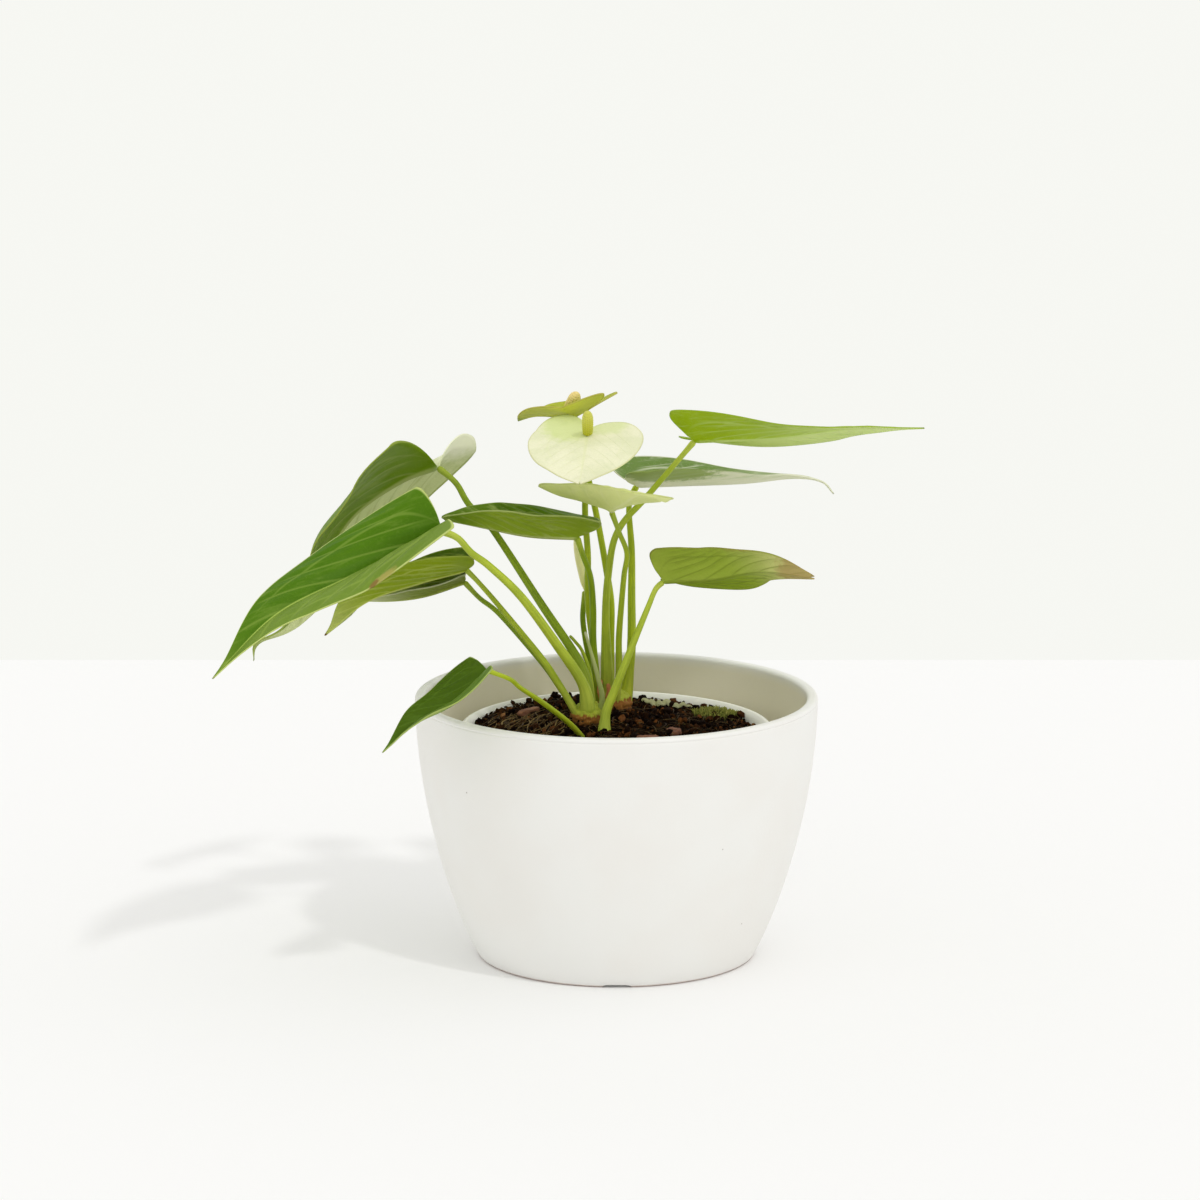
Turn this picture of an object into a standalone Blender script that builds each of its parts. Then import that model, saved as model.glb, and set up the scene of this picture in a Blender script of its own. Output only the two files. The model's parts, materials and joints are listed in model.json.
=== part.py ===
"""Potted anthurium: a plant in its nursery pot of soil, standing in a round planter pot.

Metres, +Z up. The origin is the centre of the planter's flat underside, and +X runs along
the plant's widest spread.
"""

import math

import bmesh
import bpy
import numpy as np
from mathutils import Vector
from mathutils.bvhtree import BVHTree

GAP = 0.0003

# Planter pot
POT_HEIGHT = 0.102
POT_RIM_R = 0.0775
POT_BASE_R = 0.0531
POT_WALL = 0.0042
POT_FLOOR = 0.0045
POT_SWELL = 1.85
POT_ROUND = 1.11
POT_STEPS = 48
LIP_ROUND = 0.0015
NOTCH = (0.010, 0.006, 0.0010)
POT_INNER_Z = (0.009, 0.018, 0.032, 0.050, 0.070, 0.088)
POT_OUTER_Z = (0.088, 0.070, 0.052, 0.036, 0.022, 0.012, 0.005, 0.0)
POT_FLOOR_INSET = 0.004

# Nursery pot, standing on the planter's floor
NURSERY_RIM_R = 0.0605
NURSERY_BASE_R = 0.042
NURSERY_TOP = 0.090
NURSERY_WALL = 0.0009
NURSERY_LIP = 0.0020
NURSERY_LIP_DROP = 0.004
NURSERY_WAIST_Z = 0.045
NURSERY_STEPS = 40
DRAIN_HOLES = 6
DRAIN_HOLE_R = 0.004
DRAIN_RING_R = 0.028

# Soil
SOIL_EDGE_Z = 0.0855
SOIL_MOUND = 0.0055
SOIL_MOUND_AT = (-0.014, 0.018)
SOIL_MOUND_SPREAD = 0.030
SOIL_RINGS = 6
SOIL_STEPS = 32

# Rhizomes: centre and radii
CROWNS = {
    "crown_front": ((-0.0105, 0.005, 0.0905), (0.0075, 0.009, 0.0075)),
    "crown_rear": ((-0.0025, 0.0275, 0.091), (0.009, 0.0095, 0.008)),
}

# Blades
BLADE_THICKNESS = 0.0008
BLADE_ROWS = 10
BLADE_COLUMNS = 6
# One half of a flat leaf, from the notch round the lobe to the tip: along / length, side / half width
LEAF_OUTLINE = (
    (-0.04, 0.12), (-0.10, 0.36), (-0.13, 0.64), (-0.10, 0.86), (0.02, 0.985), (0.18, 1.0),
    (0.38, 0.86), (0.58, 0.60), (0.76, 0.32), (0.90, 0.11), (1.0, 0.012),
)
SPATHE_OUTLINE = (
    (-0.06, 0.02), (-0.13, 0.18), (-0.16, 0.42), (-0.12, 0.70), (0.00, 0.90), (0.22, 1.0),
    (0.46, 0.95), (0.66, 0.80), (0.82, 0.52), (0.93, 0.24), (1.0, 0.012),
)
WIDEST_AT = 0.18

# Each blade: midrib from the stalk to the tip, left and right half widths, roll and fold in degrees
# at the base and towards the tip, curl of each half, length of the left and right lobes, lift of
# the lobes, and slimness.
BLADES = {
    "leaf_big_left": dict(
        midrib=((-0.066, -0.022, 0.170), (-0.100, -0.035, 0.155), (-0.127, -0.057, 0.145),
                (-0.149, -0.086, 0.127)),
        half_widths=(0.0215, 0.0215), roll=(-20, -14), fold=(68, 28), curl=-66, lobes=(0.1, 0.1),
        lift=6, slim=1.1),
    "leaf_rear_left": dict(
        midrib=((-0.069, 0.030, 0.185), (-0.084, 0.037, 0.178), (-0.102, 0.044, 0.164),
                (-0.115, 0.051, 0.144),
                (-0.129, 0.058, 0.118), (-0.142, 0.066, 0.108), (-0.144, 0.073, 0.099)),
        half_widths=(0.036, 0.036), roll=(11, 6), fold=(40, -15), curl=-56, lobes=(0.1, 0.35),
        lift=50, slim=1.5),
    "leaf_low_left": dict(
        midrib=((-0.058, 0.014, 0.148), (-0.077, 0.013, 0.143), (-0.096, 0.013, 0.136),
                (-0.113, 0.023, 0.120)),
        half_widths=(0.0205, 0.0205), roll=(7, 18), fold=(10, 21), curl=22, lobes=(0.5, 0.5),
        lift=-8, slim=1.0),
    "leaf_low_left_rear": dict(
        midrib=((-0.059, 0.029, 0.140), (-0.074, 0.029, 0.135), (-0.088, 0.033, 0.132),
                (-0.103, 0.036, 0.131)),
        half_widths=(0.0135, 0.0135), roll=(2, -2), fold=(31, 33), curl=-24, lobes=(0.3, 0.3),
        lift=0, slim=1.0),
    "leaf_centre_dark": dict(
        midrib=((-0.015, 0.001, 0.163), (-0.033, 0.001, 0.164), (-0.050, 0.001, 0.167),
                (-0.067, 0.001, 0.170)),
        half_widths=(0.020, 0.020), roll=(9, -2), fold=(40, 49), curl=-30, lobes=(1.3, 1.3),
        lift=-4, slim=0.6),
    "leaf_centre_pale": dict(
        midrib=((-0.002, 0.003, 0.173), (0.003, -0.011, 0.179), (0.009, -0.024, 0.185),
                (0.015, -0.038, 0.186),
                (0.021, -0.051, 0.188)),
        half_widths=(0.0145, 0.031), roll=(-4, -28), fold=(18, -6), curl=0, lobes=(0.3, 0.2),
        lift=3, slim=1.0),
    "leaf_right_middle": dict(
        midrib=((0.008, 0.035, 0.177), (0.028, 0.039, 0.177), (0.050, 0.043, 0.177),
                (0.069, 0.046, 0.178),
                (0.080, 0.048, 0.176), (0.085, 0.049, 0.171)),
        half_widths=(0.022, 0.022), roll=(-2, -10), fold=(11, 7), curl=25, lobes=(0.7, 0.7),
        lift=10, slim=1.1),
    "leaf_top_right": dict(
        midrib=((0.030, 0.010, 0.199), (0.059, 0.007, 0.201), (0.088, 0.003, 0.205),
                (0.117, -0.002, 0.206)),
        half_widths=(0.026, 0.026), roll=(-24, -15), fold=(16, -4), curl=-5, lobes=(0.7, 0.7),
        lift=14, slim=0.9),
    "leaf_low_right": dict(
        midrib=((0.018, 0.000, 0.146), (0.037, -0.004, 0.148), (0.055, -0.014, 0.153),
                (0.075, -0.018, 0.151)),
        half_widths=(0.018, 0.018), roll=(-35, -49), fold=(39, 23), curl=-33, lobes=(0.4, 0.4),
        lift=-4, slim=0.7),
    "leaf_small_front": dict(
        midrib=((-0.048, -0.063, 0.125), (-0.061, -0.068, 0.114), (-0.075, -0.072, 0.107),
                (-0.087, -0.077, 0.097)),
        half_widths=(0.0155, 0.0155), roll=(5, -16), fold=(28, 31), curl=-25, lobes=(0.1, 0.1),
        lift=0, slim=1.1),
    "spathe_front": dict(
        midrib=((-0.011, 0.004, 0.203), (-0.012, -0.012, 0.199), (-0.013, -0.026, 0.195),
                (-0.014, -0.038, 0.191)),
        half_widths=(0.022, 0.022), roll=(2, 2), fold=(3, 5), curl=0, lobes=(1.1, 2.2), lift=2,
        slim=1.0,
        outline=SPATHE_OUTLINE),
    "spathe_rear": dict(
        midrib=((-0.016, 0.024, 0.206), (-0.023, 0.028, 0.206), (-0.031, 0.033, 0.205),
                (-0.038, 0.037, 0.202)),
        half_widths=(0.013, 0.015), roll=(6, 0), fold=(12, 8), curl=15, lobes=(4.2, 4.0), lift=30,
        slim=1.0,
        outline=SPATHE_OUTLINE),
}

# Each stalk: route from its blade down to its root, and its radii at the top and at the root.
STALKS = {
    "stalk_big_left": dict(
        route=((-0.066, -0.022, 0.170), (-0.060, -0.021, 0.167), (-0.055, -0.019, 0.161),
               (-0.048, -0.016, 0.155),
               (-0.036, -0.011, 0.142), (-0.022, -0.004, 0.121), (-0.013, 0.000, 0.106),
               (-0.0105, 0.001, 0.094)),
        radii=(0.0012, 0.0022), blade="leaf_big_left"),
    "stalk_rear_left": dict(
        route=((-0.069, 0.030, 0.185), (-0.062, 0.029, 0.179), (-0.057, 0.027, 0.171),
               (-0.048, 0.024, 0.162),
               (-0.029, 0.016, 0.134), (-0.016, 0.011, 0.115), (-0.012, 0.009, 0.105),
               (-0.011, 0.008, 0.094)),
        radii=(0.0011, 0.0019), blade="leaf_rear_left"),
    "stalk_low_left": dict(
        route=((-0.058, 0.014, 0.148), (-0.053, 0.013, 0.143), (-0.045, 0.011, 0.134),
               (-0.029, 0.006, 0.115),
               (-0.022, 0.003, 0.105), (-0.014, 0.003, 0.091)),
        radii=(0.0009, 0.0015), blade="leaf_low_left"),
    "stalk_low_left_rear": dict(
        route=((-0.059, 0.029, 0.140), (-0.053, 0.027, 0.134), (-0.045, 0.024, 0.128),
               (-0.029, 0.017, 0.111),
               (-0.021, 0.011, 0.101), (-0.013, 0.007, 0.090)),
        radii=(0.0009, 0.0014), blade="leaf_low_left_rear"),
    "stalk_centre_dark": dict(
        route=((-0.015, 0.001, 0.163), (-0.013, 0.004, 0.156), (-0.010, 0.009, 0.146),
               (-0.009, 0.014, 0.133),
               (-0.009, 0.018, 0.119), (-0.008, 0.021, 0.106), (-0.007, 0.023, 0.091)),
        radii=(0.0010, 0.0016), blade="leaf_centre_dark"),
    "stalk_centre_pale": dict(
        route=((-0.002, 0.003, 0.173), (0.001, 0.004, 0.1645), (0.004, 0.006, 0.156),
               (0.003, 0.009, 0.147),
               (0.002, 0.013, 0.135), (0.001, 0.017, 0.120), (0.001, 0.019, 0.107),
               (0.000, 0.022, 0.091)),
        radii=(0.0009, 0.0014), blade="leaf_centre_pale"),
    "stalk_right_middle": dict(
        route=((0.008, 0.035, 0.177), (0.005, 0.036, 0.169), (0.006, 0.036, 0.151),
               (0.006, 0.035, 0.132),
               (0.006, 0.034, 0.115), (0.005, 0.033, 0.103), (0.003, 0.031, 0.091)),
        radii=(0.0010, 0.0020), blade="leaf_right_middle"),
    "stalk_top_right": dict(
        route=((0.030, 0.010, 0.199), (0.020, 0.0105, 0.187), (0.010, 0.012, 0.175),
               (0.003, 0.0135, 0.167),
               (-0.001, 0.014, 0.159), (-0.003, 0.018, 0.146), (-0.004, 0.020, 0.133),
               (-0.004, 0.022, 0.119),
               (-0.0035, 0.024, 0.103), (-0.0033, 0.0255, 0.092)),
        radii=(0.0010, 0.0017), blade="leaf_top_right"),
    "stalk_low_right": dict(
        route=((0.018, 0.000, 0.146), (0.015, 0.000, 0.143), (0.012, -0.001, 0.136),
               (0.007, -0.003, 0.124),
               (0.003, -0.005, 0.114), (-0.001, -0.006, 0.104), (-0.004, -0.007, 0.096),
               (-0.005, -0.008, 0.084)),
        radii=(0.0009, 0.0020), blade="leaf_low_right"),
    "stalk_small_front": dict(
        route=((-0.048, -0.063, 0.125), (-0.040, -0.055, 0.120), (-0.036, -0.048, 0.115),
               (-0.027, -0.036, 0.106),
               (-0.017, -0.020, 0.094), (-0.010, -0.010, 0.083)),
        radii=(0.0008, 0.0012), blade="leaf_small_front"),
    "stalk_flower_front": dict(
        route=((-0.011, 0.004, 0.203), (-0.012, 0.0145, 0.190), (-0.012, 0.020, 0.178),
               (-0.012, 0.0205, 0.167),
               (-0.011, 0.021, 0.152), (-0.011, 0.024, 0.134), (-0.009, 0.027, 0.116),
               (-0.0075, 0.0285, 0.101),
               (-0.006, 0.028, 0.091)),
        radii=(0.0011, 0.0014), blade="spathe_front"),
    "stalk_flower_rear": dict(
        route=((-0.016, 0.024, 0.206), (-0.013, 0.025, 0.191), (-0.010, 0.0255, 0.178),
               (-0.007, 0.0265, 0.1635),
               (-0.004, 0.028, 0.146), (-0.002, 0.029, 0.132), (-0.002, 0.031, 0.117),
               (-0.002, 0.031, 0.101),
               (-0.002, 0.029, 0.091)),
        radii=(0.0011, 0.0014), blade="spathe_rear"),
    "stalk_bud": dict(
        route=((-0.012, 0.0305, 0.136), (-0.013, 0.0315, 0.126), (-0.012, 0.033, 0.1165),
               (-0.010, 0.0345, 0.106),
               (-0.009, 0.034, 0.098), (-0.007, 0.032, 0.091)),
        radii=(0.0010, 0.0013), blade=None),
    "sheath_pale": dict(
        route=((-0.012, -0.003, 0.127), (-0.0095, -0.002, 0.118), (-0.007, 0.000, 0.108),
               (-0.0055, 0.002, 0.100),
               (-0.007, 0.003, 0.092)),
        radii=(0.0005, 0.0012), blade=None),
    "old_stalk_stub": dict(
        route=((-0.018, 0.018, 0.121), (-0.016, 0.017, 0.119), (-0.013, 0.016, 0.115),
               (-0.010, 0.014, 0.106),
               (-0.0085, 0.0115, 0.092)),
        radii=(0.0006, 0.0009), blade=None),
}
STALK_POINTS = 12
END_TAPER = 0.0025
END_RADIUS = 0.0004

# Upright bodies: foot, head, and largest radius
SPADICES = {
    "spadix_front": ((-0.011, 0.003, 0.203), (-0.011, -0.006, 0.213), 0.0021, "spathe_front"),
    "spadix_rear": ((-0.019, 0.025, 0.207), (-0.015, 0.020, 0.216), 0.0024, "spathe_rear"),
}
SPADIX_SHAPE = (0.25, 0.75, 0.95, 1.0, 0.95, 0.8, 0.45, 0.15)
BUD_SHAPE = (0.2, 0.6, 0.95, 1.0, 0.95, 0.8, 0.55, 0.2)
BUD = ((-0.012, 0.0305, 0.1366), (-0.013, 0.0295, 0.145), (-0.016, 0.0275, 0.157))
BUD_R = 0.0023
BROWN_SHEATHS = {
    "brown_sheath_left": ((-0.0062, 0.0186, 0.1035), (-0.0060, 0.0184, 0.0935)),
    "brown_sheath_right": ((-0.0030, 0.0178, 0.1020), (-0.0030, 0.0176, 0.0930)),
}
BROWN_SHEATH_R = 0.0008
BROWN_SHEATH_SHAPE = (0.3, 0.9, 1.0, 0.4)

# Bark on the soil: place, turn in degrees, length, width and height
BARK_CHIPS = {
    "bark_chip_1": (0.012, -0.020, 20, 0.010, 0.006, 0.003),
    "bark_chip_2": (0.026, -0.030, -35, 0.009, 0.005, 0.004),
    "bark_chip_3": (0.022, -0.008, 70, 0.008, 0.005, 0.003),
    "bark_chip_4": (0.038, -0.016, 10, 0.009, 0.006, 0.003),
    "bark_chip_5": (-0.030, -0.022, -15, 0.011, 0.005, 0.003),
    "bark_chip_6": (-0.034, 0.016, 40, 0.010, 0.004, 0.003),
}
MOSS_AT = (0.039, 0.028)
MOSS_RADII = (0.009, 0.006, 0.0016)
STRAW_FROM = (0.010, 0.036)
STRAW_TO = (0.030, 0.034)
STRAW_R = 0.0007
STRAW_SHAPE = (0.3, 0.8, 1.0, 1.0, 1.0, 0.9, 0.7, 0.3)
CHIP_TOP = (0.75, 0.7)

COLOURS = {
    "pot": ((0.86, 0.85, 0.82), 0.6),
    "nursery": ((0.85, 0.84, 0.79), 0.5),
    "soil": ((0.045, 0.025, 0.015), 0.95),
    "bark": ((0.11, 0.05, 0.03), 0.9),
    "moss": ((0.25, 0.27, 0.06), 0.95),
    "straw": ((0.55, 0.48, 0.28), 0.8),
    "crown": ((0.30, 0.14, 0.05), 0.9),
    "leaf": ((0.05, 0.19, 0.02), 0.45),
    "stalk": ((0.17, 0.33, 0.03), 0.45),
    "spathe": ((0.80, 0.82, 0.50), 0.5),
    "spadix": ((0.62, 0.55, 0.05), 0.6),
}


def material(name):
    """The finish of one kind of piece."""
    found = bpy.data.materials.get(name)
    if found:
        return found
    colour, roughness = COLOURS[name]
    made = bpy.data.materials.new(name)
    made.use_nodes = True
    shader = made.node_tree.nodes["Principled BSDF"]
    shader.inputs["Base Color"].default_value = (*colour, 1.0)
    shader.inputs["Roughness"].default_value = roughness
    return made


def clear_scene():
    for obj in list(bpy.data.objects):
        bpy.data.objects.remove(obj, do_unlink=True)


def new_collection(name):
    made = bpy.data.collections.new(name)
    bpy.context.scene.collection.children.link(made)
    return made


def add_object(name, data, finish, smooth=True):
    """Links one sub-part with its finish."""
    obj = bpy.data.objects.new(name, data)
    PARTS.objects.link(obj)
    data.materials.append(material(finish))
    if smooth and isinstance(data, bpy.types.Mesh):
        data.shade_smooth()
    return obj


def mesh_from(name, points, faces):
    mesh = bpy.data.meshes.new(name)
    mesh.from_pydata([tuple(p) for p in points], [], faces)
    return mesh


def as_mesh(obj):
    """Replaces an object by the plain mesh that its modifiers give."""
    graph = bpy.context.evaluated_depsgraph_get()
    baked = bpy.data.meshes.new_from_object(obj.evaluated_get(graph))
    obj.modifiers.clear()
    obj.data = baked


def cut(obj, cutter):
    """Takes a cutter's shape out of an object."""
    cutter.hide_render = True
    cutter.display_type = "WIRE"
    boolean = obj.modifiers.new("cut", "BOOLEAN")
    boolean.operation = "DIFFERENCE"
    boolean.solver = "EXACT"
    boolean.object = cutter


def turned(name, profile, steps, finish):
    """A body of revolution: a profile of (radius, height) that starts and ends on the axis."""
    mesh = bpy.data.meshes.new(name)
    edges = [(i, i + 1) for i in range(len(profile) - 1)]
    mesh.from_pydata([(r, 0.0, z) for r, z in profile], edges, [])
    obj = add_object(name, mesh, finish)
    screw = obj.modifiers.new("turn", "SCREW")
    screw.steps = steps
    screw.render_steps = steps
    screw.use_merge_vertices = True
    screw.merge_threshold = 0.0001
    return obj


def pot_radius(z):
    """Outer radius of the planter at a height."""
    s = min(max(z / POT_HEIGHT, 0.0), 1.0)
    swell = (1 - (1 - s) ** POT_SWELL) ** (1 / POT_ROUND)
    return POT_BASE_R + (POT_RIM_R - POT_BASE_R) * swell


def make_planter():
    """The planter: one thick curved wall, a rounded lip, a flat base and a small notch in its foot."""
    inner = [(0.0, POT_FLOOR), (pot_radius(POT_INNER_Z[0]) - POT_WALL - POT_FLOOR_INSET, POT_FLOOR)]
    for z in POT_INNER_Z:
        inner.append((pot_radius(z) - POT_WALL, z))
    lip_z = POT_HEIGHT - LIP_ROUND
    lip = []
    for degrees in (180, 135, 90):
        a = math.radians(degrees)
        centre = POT_RIM_R - POT_WALL + LIP_ROUND
        lip.append((centre + LIP_ROUND * math.cos(a), lip_z + LIP_ROUND * math.sin(a)))
    for degrees in (90, 45, 0):
        a = math.radians(degrees)
        centre = POT_RIM_R - LIP_ROUND
        lip.append((centre + LIP_ROUND * math.cos(a), lip_z + LIP_ROUND * math.sin(a)))
    outer = [(pot_radius(z), z) for z in POT_OUTER_Z]
    pot = turned("planter_pot", inner + lip + outer + [(0.0, 0.0)], POT_STEPS, "pot")
    bpy.ops.mesh.primitive_cube_add(size=1, location=(0.0, -POT_BASE_R, 0.0))
    notch = bpy.context.object
    notch.name = "notch_cutter"
    notch.scale = (NOTCH[0], NOTCH[1], 2 * NOTCH[2])
    move_to(notch, CUTTERS)
    cut(pot, notch)


def move_to(obj, collection):
    for owner in list(obj.users_collection):
        owner.objects.unlink(obj)
    collection.objects.link(obj)


def nursery_radius(z):
    """Outer radius of the nursery pot's wall at a height."""
    foot = POT_FLOOR + GAP
    spread = NURSERY_RIM_R - NURSERY_LIP - NURSERY_BASE_R
    return NURSERY_BASE_R + spread * (z - foot) / (NURSERY_TOP - foot)


def make_nursery_pot():
    """The thin growing pot, with a lip at the rim and drain holes in its floor."""
    foot = POT_FLOOR + GAP
    top = NURSERY_TOP
    drop = top - NURSERY_LIP_DROP
    profile = [
        (0.0, foot + NURSERY_WALL),
        (NURSERY_BASE_R - NURSERY_WALL, foot + NURSERY_WALL),
        (nursery_radius(NURSERY_WAIST_Z) - NURSERY_WALL, NURSERY_WAIST_Z),
        (nursery_radius(top) - NURSERY_WALL, top),
        (NURSERY_RIM_R, top),
        (NURSERY_RIM_R, drop),
        (nursery_radius(drop), drop),
        (nursery_radius(NURSERY_WAIST_Z), NURSERY_WAIST_Z),
        (NURSERY_BASE_R, foot),
        (0.0, foot),
    ]
    pot = turned("nursery_pot", profile, NURSERY_STEPS, "nursery")
    holes = bmesh.new()
    for i in range(DRAIN_HOLES):
        drilled = bmesh.ops.create_cone(
            holes, cap_ends=True, segments=8, radius1=DRAIN_HOLE_R, radius2=DRAIN_HOLE_R, depth=0.01)
        a = 2 * math.pi * i / DRAIN_HOLES
        place = Vector((DRAIN_RING_R * math.cos(a), DRAIN_RING_R * math.sin(a), foot))
        bmesh.ops.translate(holes, verts=drilled["verts"], vec=place)
    mesh = bpy.data.meshes.new("drain_cutter")
    holes.to_mesh(mesh)
    holes.free()
    cutter = bpy.data.objects.new("drain_cutter", mesh)
    CUTTERS.objects.link(cutter)
    cut(pot, cutter)


def soil_height(x, y):
    """Height of the soil's surface: level at the rim, mounded round the plant."""
    dx = (x - SOIL_MOUND_AT[0]) / SOIL_MOUND_SPREAD
    dy = (y - SOIL_MOUND_AT[1]) / SOIL_MOUND_SPREAD
    return SOIL_EDGE_Z + SOIL_MOUND * math.exp(-(dx * dx + dy * dy) / 2)


def make_soil():
    """The root ball: it fills the nursery pot, and it is hollowed where the rhizomes sit."""
    floor = POT_FLOOR + GAP + NURSERY_WALL + GAP
    clear = NURSERY_WALL + GAP
    edge = nursery_radius(SOIL_EDGE_Z) - clear
    rings = [(edge * i / SOIL_RINGS, SOIL_EDGE_Z) for i in range(SOIL_RINGS + 1)]
    side = [(nursery_radius(NURSERY_WAIST_Z) - clear, NURSERY_WAIST_Z), (NURSERY_BASE_R - clear, floor)]
    profile = rings + side + [(0.0, floor)]
    soil = turned("potting_soil", profile, SOIL_STEPS, "soil")
    as_mesh(soil)
    for vertex in soil.data.vertices:
        x, y, z = vertex.co
        if z > SOIL_EDGE_Z - 0.001:
            vertex.co.z = soil_height(x, y)
    for name, (centre, radii) in CROWNS.items():
        cutter = lump(name + "_cutter", centre, [r + GAP for r in radii], 14, 9, "soil", CUTTERS)
        cut(soil, cutter)


def lump(name, centre, radii, segments, rings, finish, collection=None):
    """An ellipsoid of a few facets."""
    bm = bmesh.new()
    bmesh.ops.create_uvsphere(bm, u_segments=segments, v_segments=rings, radius=1.0)
    bmesh.ops.scale(bm, vec=radii, verts=bm.verts)
    bmesh.ops.translate(bm, vec=centre, verts=bm.verts)
    mesh = bpy.data.meshes.new(name)
    bm.to_mesh(mesh)
    bm.free()
    obj = add_object(name, mesh, finish)
    if collection:
        move_to(obj, collection)
    return obj


def smooth_route(points, samples):
    """Points spread evenly along a smooth curve through the given points."""
    given = np.array(points, float)
    spans = len(given) - 1
    ends = np.vstack([2 * given[0] - given[1], given, 2 * given[-1] - given[-2]])
    at = np.linspace(0, spans, 40 * spans + 1)
    i = np.minimum(at.astype(int), spans - 1)
    f = (at - i)[:, None]
    a, b, c, d = ends[i], ends[i + 1], ends[i + 2], ends[i + 3]
    square, cube = 2 * a - 5 * b + 4 * c - d, 3 * b - a - 3 * c + d
    curve = 0.5 * (2 * b + (c - a) * f + square * f**2 + cube * f**3)
    run = np.concatenate([[0.0], np.cumsum(np.linalg.norm(np.diff(curve, axis=0), axis=1))])
    even = np.linspace(0, run[-1], samples)
    return np.stack([np.interp(even, run, curve[:, k]) for k in range(curve.shape[1])], axis=1)


def unit(vectors):
    return vectors / np.linalg.norm(vectors, axis=-1, keepdims=True)


def flat_leaf(u, v, blade):
    """(along, side) of a grid point on the flat leaf: u runs from the lobes to the tip, v across it."""
    outline = smooth_route(blade.get("outline", LEAF_OUTLINE), 201)
    at = u * 200
    along = np.interp(at, np.arange(201), outline[:, 0])
    side = np.interp(at, np.arange(201), outline[:, 1])
    side = np.where(along > WIDEST_AT, np.maximum(side, 1e-4) ** blade["slim"], side)
    left, right = blade["lobes"]
    along = np.where(along < 0, along * np.where(v > 0, left, right), along)
    start = 0.97 * u**1.5
    a = np.abs(v)
    bend = start + 0.35 * (along - start)
    x = (1 - a) ** 2 * start + 2 * (1 - a) * a * bend + a * a * along
    y = 2 * (1 - a) * a * 0.62 * side + a * a * side
    return x, y * np.sign(v)


def blade_points(blade, u, v):
    """Points of a blade's middle surface."""
    midrib = smooth_route(blade["midrib"], 101)
    length = np.linalg.norm(np.diff(midrib, axis=0), axis=1).sum()
    along, side = flat_leaf(u, v, blade)
    at = np.clip(along, 0, 1) * 100
    tangents = unit(np.gradient(midrib, axis=0))

    def on_rib(values):
        return np.stack([np.interp(at, np.arange(101), values[:, k]) for k in range(3)], axis=-1)

    tangent = unit(on_rib(tangents))
    up = np.array([0.0, 0.0, 1.0])
    normal = unit(up - (tangent @ up)[..., None] * tangent)
    left = np.cross(normal, tangent)
    t = np.clip(along, 0, 1)
    roll = np.radians(blade["roll"][0] + (blade["roll"][1] - blade["roll"][0]) * t)[..., None]
    across = np.cos(roll) * left + np.sin(roll) * normal
    above = -np.sin(roll) * left + np.cos(roll) * normal
    back = np.minimum(along * length, 0)[..., None]
    lift = math.radians(blade["lift"])
    base = on_rib(midrib) + back * math.cos(lift) * tangent - back * math.sin(lift) * above
    fold = blade["fold"][0] + (blade["fold"][1] - blade["fold"][0]) * np.clip(along / 0.6, 0, 1)
    fold = np.radians(fold)
    width = np.where(v > 0, *blade["half_widths"])
    reach = np.abs(side) * width
    bend = math.radians(blade["curl"] or 0.01) / width
    out = (np.sin(fold + bend * reach) - np.sin(fold)) / bend
    rise = (np.cos(fold) - np.cos(fold + bend * reach)) / bend
    return base + across * (np.sign(side) * out)[..., None] + above * rise[..., None]


def make_blade(name, blade, finish):
    """A leaf or spathe: a grid laid on its curved surface and given its thickness."""
    bm = bmesh.new()
    bmesh.ops.create_grid(bm, x_segments=BLADE_ROWS, y_segments=BLADE_COLUMNS, size=1.0)
    flat = np.array([v.co for v in bm.verts])
    placed = blade_points(blade, (flat[:, 0] + 1) / 2, flat[:, 1])
    for vertex, point in zip(bm.verts, placed):
        vertex.co = point
    mesh = bpy.data.meshes.new(name)
    bm.to_mesh(mesh)
    bm.free()
    corners = [v.co.copy() for v in mesh.vertices]
    tree = BVHTree.FromPolygons(corners, [tuple(p.vertices) for p in mesh.polygons])
    obj = add_object(name, mesh, finish)
    solid = obj.modifiers.new("thickness", "SOLIDIFY")
    solid.thickness = BLADE_THICKNESS
    solid.offset = 0.0
    return tree


def crown_clearance(point):
    """Distance outside the nearest rhizome, below zero inside it."""
    gaps = []
    for centre, radii in CROWNS.values():
        away = np.array(point) - centre
        size = np.linalg.norm(away / radii)
        gaps.append(np.linalg.norm(away) * (1 - 1 / size))
    return min(gaps)


def root_clearance(point):
    """Distance above the soil or outside the rhizomes, whichever is less."""
    return min(crown_clearance(point), point[2] - soil_height(point[0], point[1]))


def end_radius(full, distance):
    """A stalk's radius near its end, which is rounded over a short length."""
    if distance >= END_TAPER:
        return full
    return END_RADIUS + (full - END_RADIUS) * math.sin(math.pi / 2 * distance / END_TAPER)


def trimmed(route, radii, top_gap):
    """The route with both ends drawn back until the rounded stalk clears what it grows from."""
    spacing = np.linalg.norm(route[1] - route[0])
    widths = np.linspace(radii[0], radii[1], len(route))
    reach = int(3 * END_TAPER / spacing)

    def first_clear(points, full, gap):
        for start in range(len(points) - reach):
            inside = range(start, start + reach)
            if all(gap(points[i]) >= end_radius(full, (i - start) * spacing) + GAP for i in inside):
                return start
        return 0

    low = len(route) - first_clear(route[::-1], radii[1], root_clearance)
    high = first_clear(route, radii[0], top_gap) if top_gap else 0
    return route[high:low], widths[high:low]


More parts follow.
